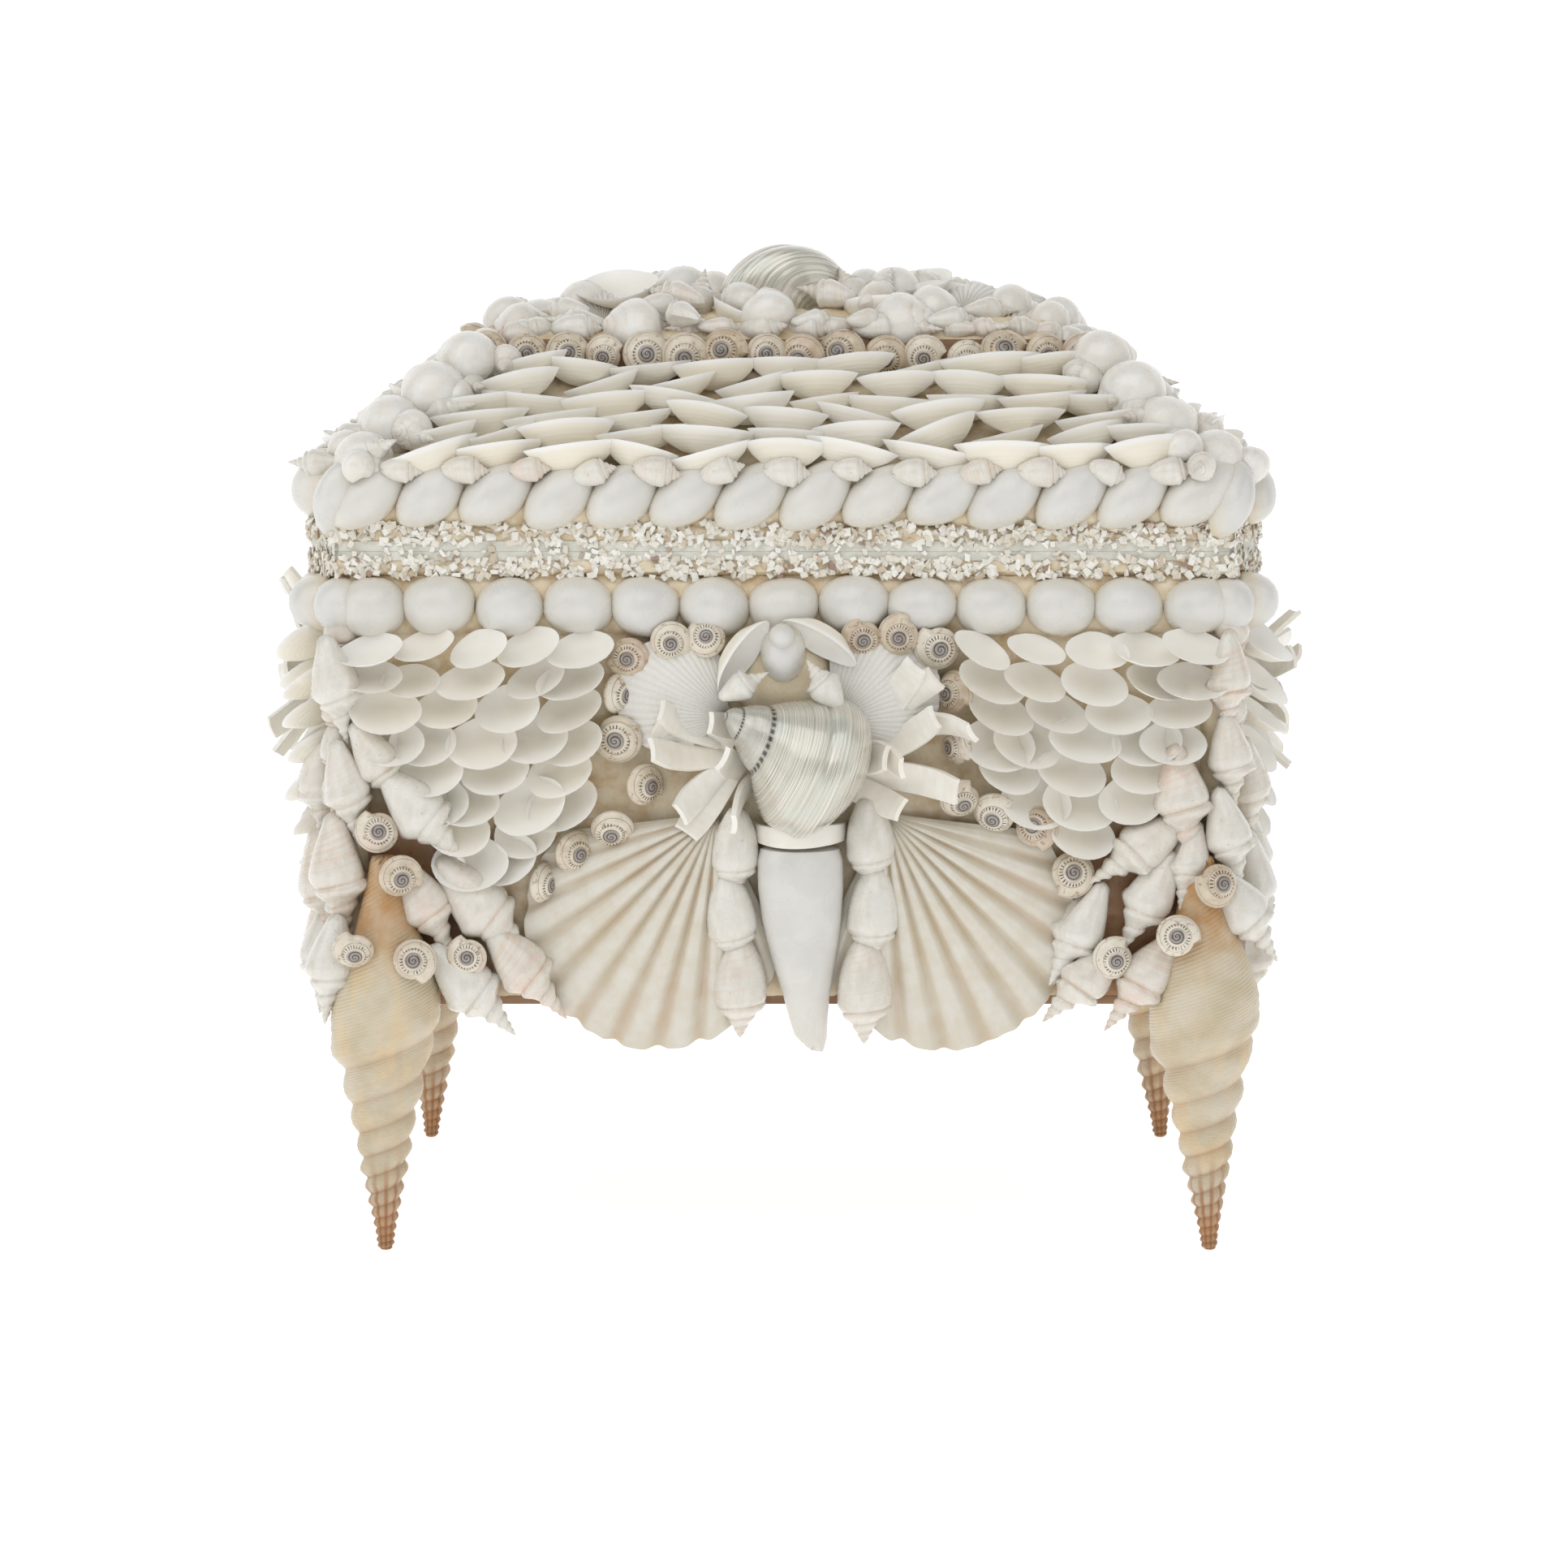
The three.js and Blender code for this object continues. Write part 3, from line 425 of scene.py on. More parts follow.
class Look:
    """A material under construction: its colour so far, and short names for the nodes that it is made of."""

    def __init__(self, name, soft=None, IOR=1.5, **settings):
        self.material = bpy.data.materials.new(name)
        self.material.use_nodes = True
        self.tree = self.material.node_tree
        self.shader = self.tree.nodes["Principled BSDF"]
        self.color = None
        settings["IOR"] = IOR
        if soft:
            weight, scale = soft
            settings.update(Subsurface_Weight=weight, Subsurface_Radius=(1.0, 1.0, 1.0),
                            Subsurface_Scale=scale / 1000)
        for socket, value in settings.items():
            self.shader.inputs[socket.replace("_", " ")].default_value = value

    def add(self, kind, inputs, **properties):
        node = self.tree.nodes.new("ShaderNode" + kind)
        for key, value in properties.items():
            setattr(node, key, value)
        for key, value in inputs.items():
            if isinstance(value, bpy.types.NodeSocket):
                self.tree.links.new(value, node.inputs[key])
            else:
                node.inputs[key].default_value = value
        return node.outputs

    def __getitem__(self, name):
        """One of the looks that the mesh has at its face corners."""
        return self.add("Attribute", {}, attribute_name=name)["Fac"]

    def noise(self, size, detail=3.0, roughness=0.55, stretch=None):
        """Noise with features about size millimetres across."""
        where = self.add("TexCoord", {})["Object"]
        if stretch:
            where = self.add("Mapping", {"Vector": where, "Scale": stretch})[0]
        inputs = {"Vector": where, "Scale": 1000 / size, "Detail": detail, "Roughness": roughness}
        return self.add("TexNoise", inputs)[0]

    def along_coil(self, across, along, detail=2.0):
        """Noise drawn out along the coil of a shell: so many features across a whorl and along it."""
        coil, turn = self["coil"], self["turn"]
        angle = self.times(coil, FULL_TURN)
        inputs = {"X": self.times(self.do("COSINE", angle), across / 6.0),
                  "Y": self.times(self.do("SINE", angle), across / 6.0),
                  "Z": self.times(self.do("ADD", coil, turn), along)}
        where = self.add("CombineXYZ", inputs)[0]
        return self.add("TexNoise", {"Vector": where, "Scale": 1.0, "Detail": detail, "Roughness": 0.5})[0]

    def do(self, operation, a, b=0.0):
        return self.add("Math", {0: a, 1: b}, operation=operation)[0]

    def times(self, product, *factors):
        for factor in factors:
            product = self.do("MULTIPLY", product, factor)
        return product

    def wave(self, value, rate, kind="SINE"):
        return self.do(kind, self.times(value, rate))

    def step(self, value, low, high, to_low=0.0, to_high=1.0):
        """A value from low to high as a smooth step from to_low to to_high."""
        inputs = {"Value": value, "From Min": low, "From Max": high, "To Min": to_low, "To Max": to_high}
        return self.add("MapRange", inputs, interpolation_type="SMOOTHSTEP")[0]

    def cloud(self, size, detail=3.0, low=0.3, high=0.7, to_low=0.0, to_high=1.0):
        """A smooth step over noise."""
        return self.step(self.noise(size, detail), low, high, to_low, to_high)

    def tones(self, to_low=0.0, to_high=1.0, low=-1.0, high=1.0):
        """A smooth step over the tone, which differs from shell to shell."""
        return self.step(self["tone"], low, high, to_low, to_high)

    def mix(self, factor, a, b, blend="MIX"):
        a, b = (c if isinstance(c, bpy.types.NodeSocket) else (*c, 1.0) for c in (a, b))
        return self.add("Mix", {0: factor, 6: a, 7: b}, data_type="RGBA", blend_type=blend)[2]

    def begin(self, factor, first, second):
        self.color = self.mix(factor, linear(*first), linear(*second))

    def tint(self, factor, *screen_color, blend="MIX"):
        self.color = self.mix(factor, self.color, linear(*screen_color), blend)

    def done(self, roughness, *heights):
        """The finished material. Its bumps are pairs of a height field and its size in millimetres."""
        sockets = {"Base Color": self.color, "Roughness": roughness}
        normal = {}
        for height, size in heights:
            inputs = {"Height": height, "Strength": 1.0, "Distance": size / 1000, **normal}
            normal["Normal"] = self.add("Bump", inputs)[0]
        for socket, value in {**sockets, **normal}.items():
            if value is not None:
                self.tree.links.new(value, self.shader.inputs[socket])
        return self.material


def white_shell():
    """Polished white: moon shells, almonds, the tusk, with painted reflection: lighter and creamier towards the rims,
    greyer in the middle.
    """
    look = Look("polished_white_shell", (0.1, 3.0), Roughness=0.28, Coat_Weight=0.3, Coat_Roughness=0.1)
    look.begin(look.cloud(9, 2), (210, 209, 205), (219, 218, 214))
    look.tint(look.tones(0, 0.35), 222, 217, 206)
    # Painted reflection: lighter and creamier where 'spire' is high (the rims of the shell backs, the tusk's point),
    # leaving the middles greyer, as the studio's reflections would.
    look.tint(look.step(look["spire"], 0.5, 1.0, 0.0, 0.45), 226, 221, 208)
    look.tint(look.times(look["groove"], look.cloud(5, 3, 0.25, 0.75, 0.3, 0.9)), 226, 210, 178)
    look.tint(look.times(look.cloud(1.6, 2, 0.72, 0.78), 0.25), 205, 186, 160)
    return look.done(look.cloud(14, 4, 0.3, 0.7, 0.22, 0.38), (look.noise(6, 4), 0.10), (look.noise(0.7, 2), 0.012))


def snail_white():
    """White and faintly cream moon snails, glossy, with a soft brown seam."""
    look = Look("white_moon_snail", (0.2, 2.0), Coat_Weight=0.4, Coat_Roughness=0.12)
    look.begin(look.cloud(6), (234, 233, 229), (228, 223, 213))
    look.tint(look.tones(0, 0.5), 232, 222, 206)
    look.tint(look.times(look["groove"], look.cloud(3, 3, 0.3, 0.7, 0.1, 0.5)), 200, 172, 136)
    return look.done(look.cloud(4, 3, 0.3, 0.7, 0.2, 0.38), (look.wave(look["turn"], 200.0), 0.008),
                     (look.noise(6, 2), 0.05))


def satin_cup():
    """Clam halves: satin inside, with fine growth rings outside and a thin rim painted whiter as light shining through
    it.
    """
    look = Look("satin_clam_shell", (0.25, 3.0), Coat_Weight=0.1, Coat_Roughness=0.3)
    reach, outside = look["spire"], look["coil"]
    rings = look.wave(reach, 60.0)
    look.begin(look.cloud(7), (252, 250, 243), (254, 252, 247))
    look.tint(look.tones(0, 0.5), 252, 247, 234)
    look.tint(look.step(reach, 0.15, 0.75, 0.3, 0.0), 250, 243, 226)
    inside_color = look.color
    look.begin(look.step(rings, -1, 1, 0.0, 0.16), (243, 238, 224), (230, 220, 194))
    look.tint(look.tones(0, 0.6, low=-0.4), 242, 231, 204)
    look.color = look.mix(outside, inside_color, look.color)
    # Painted light: the thin rim is painted whiter, standing in for light shining through the edge.
    look.tint(look.step(reach, 0.90, 0.985), 251, 250, 247)
    return look.done(look.cloud(5, 3, 0.3, 0.7, 0.30, 0.46), (look.times(rings, outside), 0.02),
                     (look.noise(5, 2), 0.05))


def cream_conch():
    """Conches: white to pinkish cream, with tan growth streaks and brown in the sutures."""
    look = Look("cream_conch_shell", (0.15, 2.0), Coat_Weight=0.5, Coat_Roughness=0.12)
    streak = look.noise(2.6, 4, 0.6, stretch=(1.0, 1.0, 0.35))
    look.begin(look.step(streak, 0.35, 0.72), (226, 224, 217), (219, 214, 203))
    look.tint(look.tones(0, 0.25), 242, 235, 225, blend="MULTIPLY")
    look.tint(look.times(look.step(look.along_coil(14, 1.0, 1.0), 0.5, 0.62), look.tones(0.0, 0.5)), 220, 196, 174)
    look.tint(look.times(look.cloud(13, 2, 0.5, 0.72), look.tones(0.0, 0.75, low=-0.7)), 222, 198, 184)
    look.tint(look.times(look.step(look["spire"], 0.05, 0.4, 1.0, 0.0), look.tones(0.05, 0.7)), 216, 190, 172)
    look.tint(look.times(look.cloud(1.5, 2, 0.66, 0.76), 0.45), 190, 152, 112)
    # Brown in the sutures and the mouth slot, mottled, and stronger on shells of higher tone.
    groove_brown = look.times(look["groove"], look.cloud(3, 3, 0.3, 0.7, 0.1, 0.6), look.tones(0.25, 1.0))
    look.tint(groove_brown, 204, 174, 142)
    return look.done(look.cloud(4, 3, 0.3, 0.7, 0.18, 0.36), (look.wave(look["coil"], 50.26), 0.008),
                     (look.wave(look["turn"], 75.4), 0.012), (streak, 0.03), (look.noise(1.0), 0.012))


def ribbed_shell():
    """Scallops, cockles and small fans: cream, with tan and pink in the grooves."""
    look = Look("ribbed_cream_shell", Coat_Weight=0.1, Coat_Roughness=0.3)
    mottled = look.cloud(6, 4)
    look.begin(mottled, (219, 215, 204), (213, 206, 190))
    look.color = look.mix(look.tones(0.1, 1.0, high=0.4), linear(228, 227, 222), look.color)
    tan = look.times(look["groove"], look.tones(0.1, 0.75), look.cloud(16, 3, 0.3, 0.65, 0.5, 1.0))
    look.tint(tan, 196, 176, 142)
    look.tint(look.times(look.cloud(26, 1, 0.5, 0.62), tan, 0.35), 214, 176, 158)
    rings = look.do("SINE", look.do("ADD", look.times(look["spire"], 120.0), look.times(mottled, 3.0)))
    look.tint(look.step(rings, 0.3, 1, 0, 0.05), 205, 186, 150)
    return look.done(look.cloud(4, 3, 0.3, 0.7, 0.32, 0.5), (rings, 0.015), (look.wave(look["coil"], 25.13), 0.03),
                     (look.noise(4), 0.06))


def pearl():
    """Polished nacre: silver white with faint green and pink, and dark dashed seams on the spire. Its white and grey
    streaks along the coil are painted highlights and shade over the nacre's own banding.
    """
    look = Look("polished_nacre", IOR=1.6, Coat_Weight=0.7, Coat_Roughness=0.08, Metallic=0.3)
    coil = look["coil"]
    streaks = look.along_coil(60, 1.2)
    # Painted highlight: white and grey streaks along the coil stand in for highlight streaks, over the nacre's own
    # banding.
    look.begin(look.step(streaks, 0.35, 0.65), (192, 189, 176), (232, 229, 218))
    look.tint(look.cloud(10, 2, 0.52, 0.7, 0, 0.35), 232, 214, 208)
    look.tint(look.cloud(13, 2, 0.55, 0.7, 0, 0.35), 208, 222, 214)
    cords, late = look.wave(coil, 119.4, "COSINE"), look.step(coil, 1.96, 2.06)
    # Painted highlight and shade: grey between the cords of the last whorl, leaving bright lines along the cords.
    look.tint(look.times(look.step(cords, -1.0, 0.6, 0.4, 0.0), late), 190, 186, 168)
    tip = look.do("SUBTRACT", 1.0, late)
    look.tint(look.times(tip, look.cloud(4, 3, 0.35, 0.65, 0.35, 0.95)), 188, 185, 175)
    seam = look.step(look.do("PINGPONG", coil, 0.5), 0.02, 0.09, 1.0, 0.0)
    dashes = look.step(look.wave(look["turn"], 170.0), -0.6, 0.1, 0.35, 1.0)
    look.tint(look.times(seam, dashes, look.step(look["spire"], 0.66, 0.80, 1.0, 0.0)), 66, 62, 58)
    return look.done(look.step(streaks, 0.35, 0.65, 0.12, 0.30), (look.times(cords, late), 0.045),
                     (streaks, 0.12), (look.noise(9, 2), 0.10))


def button_shell():
    """Flat round snails: cream to brown, a dark spiral in the middle and a ring of dashes."""
    look = Look("button_snail_shell", Coat_Weight=0.6, Coat_Roughness=0.08)
    spire = look["spire"]
    look.begin(look.cloud(3), (212, 198, 174), (190, 170, 142))
    look.tint(look.tones(0, 0.9), 228, 221, 206)
    look.tint(look.times(look.cloud(17, 1, 0.55, 0.7), 0.3), 204, 172, 158)
    seam = look.do("PINGPONG", look["coil"], 0.5)
    middle = look.step(spire, 0.36, 0.46, 1.0, 0.0)
    look.tint(look.times(middle, 0.8), 128, 120, 118)
    look.tint(look.times(look.step(seam, 0.08, 0.24, 1.0, 0.0), middle), 44, 38, 38)
    look.tint(look.times(look.step(seam, 0.0, 0.07, 0.85, 0.0), look.step(spire, 0.75, 0.85, 1, 0)), 96, 76, 62)
    band = look.times(look.step(spire, 0.49, 0.53), look.step(spire, 0.58, 0.63, 1.0, 0.0))
    wander = look.do("ADD", look.times(look["turn"], 150.8), look.times(look.noise(3), 7.0))
    dashes = look.step(look.do("SINE", wander), 0.0, 0.6)
    look.tint(look.times(band, dashes, look.cloud(2.4, 3, 0.36, 0.52, 0.2, 0.95)), 70, 56, 48)
    look.tint(look.times(look.cloud(1.8, 2, 0.58, 0.70), look.step(spire, 0.45, 0.6, 0.0, 0.6)), 150, 112, 78)
    return look.done(look.cloud(3, 3, 0.3, 0.7, 0.14, 0.30), (look.noise(2.0), 0.05))


def leg_shell():
    """Spindle shells: cream, browner towards the tip and along the canal, with fine cords."""
    look = Look("spindle_shell", (0.15, 3.0), Coat_Weight=0.1, Coat_Roughness=0.3)
    coil, spire = look["coil"], look["spire"]
    look.begin(look.cloud(12, 4), (213, 204, 184), (199, 185, 156))
    look.tint(look.step(look.noise(7, stretch=(1, 1, 0.25)), 0.45, 0.72, 0, 0.7), 224, 200, 160)
    look.tint(look.times(look.step(spire, 0.20, 0.50, 1.0, 0.0), 0.85), 198, 146, 96)
    look.tint(look.times(look.step(spire, 0.87, 0.96), look.cloud(6, 3, 0.3, 0.7, 0.6, 1.0)), 184, 138, 84)
    between = look.step(look.wave(look["turn"], 62.83, "COSINE"), -1, 0.3, 0.8, 0.0)
    look.tint(look.times(between, look.step(coil, 5.0, 8.5, 1.0, 0.0)), 168, 108, 62)
    look.tint(look.times(look["groove"], look.step(spire, 0.3, 0.85, 0.8, 0.25), 0.7), 170, 112, 66)
    cords = look.wave(coil, 94.25)
    look.tint(look.step(cords, -1, -0.2, 0.12, 0.0), 206, 170, 122)
    return look.done(look.cloud(5, 3, 0.3, 0.7, 0.36, 0.55), (cords, 0.06), (look.noise(5, 4), 0.16))


def crushed():
    """Chips of crushed shell: white, cream, grey and a few pink or brown ones."""
    look = Look("crushed_shell_chips", Roughness=0.55)
    look.begin(look.tones(low=-0.6, high=0.6), (242, 240, 233), (226, 220, 206))
    look.tint(look.tones(low=0.7, high=0.9), 206, 190, 168)
    look.tint(look.tones(low=0.965, high=0.985), 160, 136, 120)
    look.tint(look.cloud(0.8, 2, 0.5, 0.8, 0, 0.4), 212, 202, 182)
    return look.done(None, (look.noise(0.6, 2), 0.03))


def glue():
    """The bed between the shells: plaster and glue, tan in the hollows, glossy in places."""
    look = Look("plaster_and_glue", (0.15, 1.5))
    look.begin(look.cloud(6, 4, 0.32, 0.7), (231, 218, 192), (206, 180, 140))
    look.tint(look.step(look["spire"], 0.35, 0.8, 0.0, 0.6), 232, 220, 194)
    # Dark brown where the bed's tone is set: low on each wall, under the corner clusters.
    look.tint(look.tones(0, 0.85, low=0), 160, 112, 70)
    return look.done(look.cloud(4, 3, 0.35, 0.65, 0.22, 0.6), (look.noise(2.2, 4), 0.25), (look.noise(0.6, 2), 0.05))


def frosted():
    """The strip along the seam: frosted, greyish, faintly green glue over plaster."""
    look = Look("frosted_seam", (0.3, 1.5))
    look.begin(look.cloud(4, 4), (212, 211, 200), (228, 226, 216))
    look.tint(look.cloud(2, 2, 0.6, 0.75, 0, 0.5), 196, 186, 166)
    return look.done(look.cloud(3, 3, 0.3, 0.7, 0.35, 0.7), (look.noise(1.8), 0.2), (look.noise(0.5, 2), 0.05))


def cut_shell():
    """Strips cut from white shells, a little chalky, with faint rings across them."""
    look = Look("cut_shell_strips", (0.25, 2.0), Coat_Weight=0.15, Coat_Roughness=0.2)
    look.begin(look.cloud(6), (246, 244, 238), (238, 234, 224))
    look.tint(look.tones(0, 0.35), 238, 228, 208)
    rings = look.wave(look["spire"], 40.0)
    look.tint(look.step(rings, 0.2, 1, 0, 0.06), 214, 200, 174)
    return look.done(look.cloud(4, 3, 0.3, 0.7, 0.3, 0.5), (rings, 0.008), (look.noise(4), 0.06))


def bare_wood():
    """Bare wood with a fine grain along X, stained by glue in places."""
    look = Look("bare_wood", IOR=1.45)
    grain = look.noise(2.2, 5, 0.65, stretch=(0.06, 1, 1))
    look.begin(look.step(grain, 0.3, 0.7), (150, 118, 88), (184, 150, 114))
    look.tint(look.step(look.noise(14, stretch=(0.12, 1, 1)), 0.4, 0.7, 0, 0.6), 134, 102, 82)
    look.tint(look.cloud(22, 3, 0.55, 0.7, 0, 0.5), 116, 88, 66)
    return look.done(look.step(grain, 0.3, 0.7, 0.5, 0.75), (grain, 0.12),
                     (look.noise(0.5, 2, stretch=(0.1, 1, 1)), 0.03))


WHITE, WHITE_SNAIL, CUP, CONCH, RIBBED = white_shell(), snail_white(), satin_cup(), cream_conch(), ribbed_shell()
PEARL, BUTTON, LEG, CHIPS = pearl(), button_shell(), leg_shell(), crushed()
BED, FROST, CUT, WOOD = glue(), frosted(), cut_shell(), bare_wood()
for node in ("box_body", "lid_shell"):
    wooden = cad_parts[node]
    wooden.data.materials.clear()
    wooden.data.materials.append(WOOD)

# ---- Prototypes: a few of each kind, so that no two neighbours are quite alike ----

KNOBS, LIPS = (0.08, 0.13, 0.18), (250, 215, 300)
CONCHES, HEAP_CONCHES = ([conch(37, 15.2 + k % 2, columns, rows, KNOBS[k % 3], LIPS[k % 3]) for k in range(6)]
                         for columns, rows in ((24, 7), (16, 5)))
PLAIN_CONCHES = [conch(36, 16, 16, 5, 0.13, lip) for lip in (250, 300)]
SMALL_CONCHES = [conch(15, 8.8, 13, 4, 0.04 + 0.05 * k, lip, 4, BUD_OUTLINE, 0.28)
                 for k, lip in enumerate((250, 200, 310))]
BUDS = [conch(28, 15.5, 24, 8, 0.05, lip, 4, BUD_OUTLINE, 0.29, 0.12) for lip in (250, 215)]
MOONS = [moon_snail(21, 20, 6), moon_snail(20.6, 19, 6)]
BIG_MOONS = [moon_snail(21, 22, 6)]
FINE_BUTTONS = [button(14, 28, 6), button(13.4, 27, 6)]
PLAIN_BUTTONS = [button(14, 22, 5)]
PEBBLES = [pebble(23.0, 19.0, 9.8, egg, point)
           for egg, point in ((0.07, 2.2), (-0.10, 2.1), (0.14, 2.3), (0.0, 2.15), (-0.05, 2.4))]
ALMONDS = [pebble(29.5, 18.0, 9.0, egg, point, columns=30)
           for egg, point in ((0.12, 1.72), (-0.08, 1.68), (0.05, 1.78), (0.16, 1.66))]
CUPS = [cup(*size, seed=k)
        for k, size in enumerate(((24, 20, 4.4), (25, 20.5, 4.9), (23, 19.5, 4.1), (24.5, 21, 5.0), (25.5, 20, 4.6)))]
PLAIN_CUPS = [cup(26, 21, 5.0, columns=18, rings=4, seed=k) for k in range(3)]
BOATS = [cup(*size, pointed=0.62, columns=26, seed=k)
         for k, size in enumerate(((29, 13, 7.4), (27, 12, 7.8), (31, 12.5, 7.0), (26, 12.5, 7.6)))]
PLAIN_BOATS = [cup(29, 13, 7.4, pointed=0.6, columns=18, rings=4, seed=k) for k in range(2)]
COCKLES = [fan(12.5, 7.0, 19, spread=66, rib=0.3, per_rib=4, rings=7, wall=0.8, edge=0.012)]
BOWLS = [cup(22, 25, 7.0, pointed=0.12, columns=30, rings=7, seed=k) for k in (3, 5)]


# ---- Rows round the wood ----

SUNK = -0.3  # the rims of a bed of glue end this far inside the wood


def level_ground(u, v):
    return 0 * u


def crust(on, reach, low_v, high_v, grain, low, high, seed, shape=level_ground, brown_patch=level_ground, taper=0.0,
          rims=(SUNK, SUNK)):
    """A bumpy bed of glue over part of a face, from low to high above it, narrower upwards by taper."""
    us, vs = (np.linspace(start, end, max(2, round((end - start) / grain)) + 1)
              for start, end in ((-reach, reach), (low_v, high_v)))
    u, v = np.meshgrid(us, vs, indexing="ij")
    u = u * (1 - taper * (v - low_v) / (high_v - low_v))
    bumps = np.clip(0.5 + 0.3 * waves(u, v, 9, seed) + 0.25 * waves(u, v, 3.6, seed + 1), 0, 1)
    rise = shape(u, v)
    z = low + (high - low) * bumps + rise
    for edge, rim in zip((0, -1), rims):
        z[:, edge] = rim + rise[:, edge] * (rim > 0)
    z[[0, -1]] = SUNK
    return lay(sew((u, v, z), (bumps, 0, 0, 0, brown_patch(u, v))), on, 0, 0, tone=None)


def evenly(count, pitch):
    """Places across a face, evenly spaced about its middle."""
    return [(i - (count - 1) / 2) * pitch for i in range(count)]


def moon_row(side):
    draw = Draw(10 + SIDES.index(side))
    parts = []
    for u in evenly(13 if broad(side) else 8, pitch=21.8):
        u += draw.near(0.5)
        size = draw(0.95, 1.03, 3) * [1, 1, 1.0 if broad(side) else 1.3]
        parts.append(lay(draw.pick(PEBBLES), WALLS[side], u, MOON_LEVEL + draw.near(0.7), 0.8 + proud(side),
                         turn=draw.near(12), size=size, tone=draw.near(1)))
    make("moon_shells_" + side, parts, WHITE, "white_shell", ["moon_row_" + side])


def oval_row(side):
    draw = Draw(20 + SIDES.index(side))
    places = evenly(14 if broad(side) else 8, pitch=20.1)
    parts, conches = [], []
    for u in places:
        last = u == places[-1]
        u += draw.near(0.4)
        parts.append(lay(draw.pick(ALMONDS), WALLS[side], u, OVAL_LEVEL + draw.near(0.5), 1.0 + proud(side),
                         turn=40 + draw.near(5), tip=3, roll=7,
                         size=draw(0.95, 1.03, 3) * [1, 1, 1.0 if broad(side) else 1.25], tone=draw.near(1)))
        if not last:
            conches.append(lay(draw.pick(SMALL_CONCHES), WALLS[side], u + 11, OVAL_LEVEL + 8 + draw.near(0.8),
                               6.5 + proud(side), turn=-90 + draw(-26, 16), roll=draw.near(60),
                               size=draw(0.86, 1.12), tone=draw.near(1)))
    make("almond_shells_" + side, parts, WHITE, "white_shell", ["oval_row_" + side])
    make("tiny_conches_" + side, conches, CONCH, "cream_shell")


def chip(draw):
    """One chip of crushed shell: a thin block with uneven corners."""
    block = np.array([draw(1.7, 3.4), draw(1.2, 2.5), draw(0.4, 0.9)]) / 2
    corners = np.array([[i, j, k] for i in (-1, 1) for j in (-1, 1) for k in (-1, 1)])
    quads = np.array([[0, 1, 3, 2], [4, 6, 7, 5], [0, 4, 5, 1], [2, 3, 7, 6], [0, 2, 6, 4], [1, 5, 7, 3]])
    return Part(corners * block * draw(0.55, 1.25, (8, 3)), [quads, np.zeros((0, 3), int)],
                [np.zeros((6, 4, 5)), np.zeros((0, 3, 5))])


def crushed_band(name, levels, groove, rims, seed):
    """Chips stuck on a bed all the way round, and the frosted strip next to the seam."""
    draw = Draw(seed)
    low, high = levels
    chips, glue_beds, frost = [], [], []
    for side, wall in WALLS.items():
        edge = half_width(side) + 2.2

        def swell(u, v):
            return 1.9 * proud(side) * ease(0, 1, (edge - np.abs(u)) / 22)

        glue_beds.append(crust(wall, edge, low, high, 1.5, 1.3, 2.4, seed, swell, rims=rims))
        frost.append(crust(wall, edge - 0.6, *groove, 1.2, 1.3, 2.3, seed + 5, swell, rims=(1.7, 1.7)))
        for _ in range(round(2 * edge * (high - low) / 2.4)):
            u, v = draw.near(edge), draw(low - 0.3, high + 0.4)
            chips.append(lay(chip(draw), wall, u, v, swell(u, v) + draw(1.8, 3.2), turn=draw(0, 360),
                             tip=draw.near(42), roll=draw.near(38), tone=draw.near(1)))
        for _ in range(round(edge / 1.6)):
            u, v = draw.near(edge), draw(*groove)
            chips.append(lay(chip(draw), wall, u, v, swell(u, v) + draw(1.9, 2.6), turn=draw(0, 360),
                             tip=draw.near(20), size=0.8, tone=draw.near(1)))
    make(name + "_chips", chips, CHIPS, "crushed_shell", [name], sharp=20)
    make(name + "_bed", glue_beds, BED, "crushed_shell")
    make(name + "_groove", frost, FROST, "crushed_shell")


# ---- Legs ----


def leg(corner):
    sx, sy = CORNERS[corner]
    columns, rows, twist = (56, 10, 80) if sy < 0 else (36, 7, -100)
    shell = snail(LEG_OUTLINE, 1, 1, 11, 1.2, 60, columns, rows, bulge=0.17, cords=5, cord=0.006, knobs=10,
                  knob=0.13, knob_end=7.8, lip=20, flare=0.06, mouth=0.12, breadth=0.36, smooth_from=0.7,
                  roundness=1.0).moved(spin(Z, twist), (0, 0, 0))
    foot_x, head_x = (-129.3, -126.5) if sx < 0 else (138, 131.5)
    x, y, z = shell.points.T
    t = z / LEG_OUTLINE[-1][0]
    lean = 0.2 * x * ease(3, 24, z) * (1 - ease(100, 128, z))
    shell.points = np.column_stack([x + (foot_x + t * (head_x - foot_x)), y + sy * (83 + 15 * t), z + lean])
    make("spindle_" + corner, [shell], LEG, "leg_shell", ["leg_" + corner])


# ---- The figure on the front ----


def tusk():
    body = turned([(0, 0), (0.3, 9.0), (1.5, 12.6), (5, 13.6), (14, 13.5), (24, 12.6), (33, 11.0), (42, 9.0),
                   (50, 7.2), (57, 6.0), (62, 5.2), (64.2, 4.2), (65, 0)], 52)
    x, y, z = body.points.T
    around = np.arctan2(y, x)
    lobes = 1 + 0.03 * np.sin(3 * around + z / 20) * ease(0, 12, z)
    tip = (1.4 * waves(4 * around, z, 3, 3) + 1.5 * np.cos(around)) * ease(57, 64, z)
    body.points = np.column_stack([x * lobes + 0.003 * np.maximum(z - 12, 0) ** 1.8, y * lobes * 0.74, z + tip])
    make("white_tusk", [body.moved(spin(X, 180), (5, -HALF_Y - 8.5, 135.2))], WHITE, "white_shell", ["tusk"])


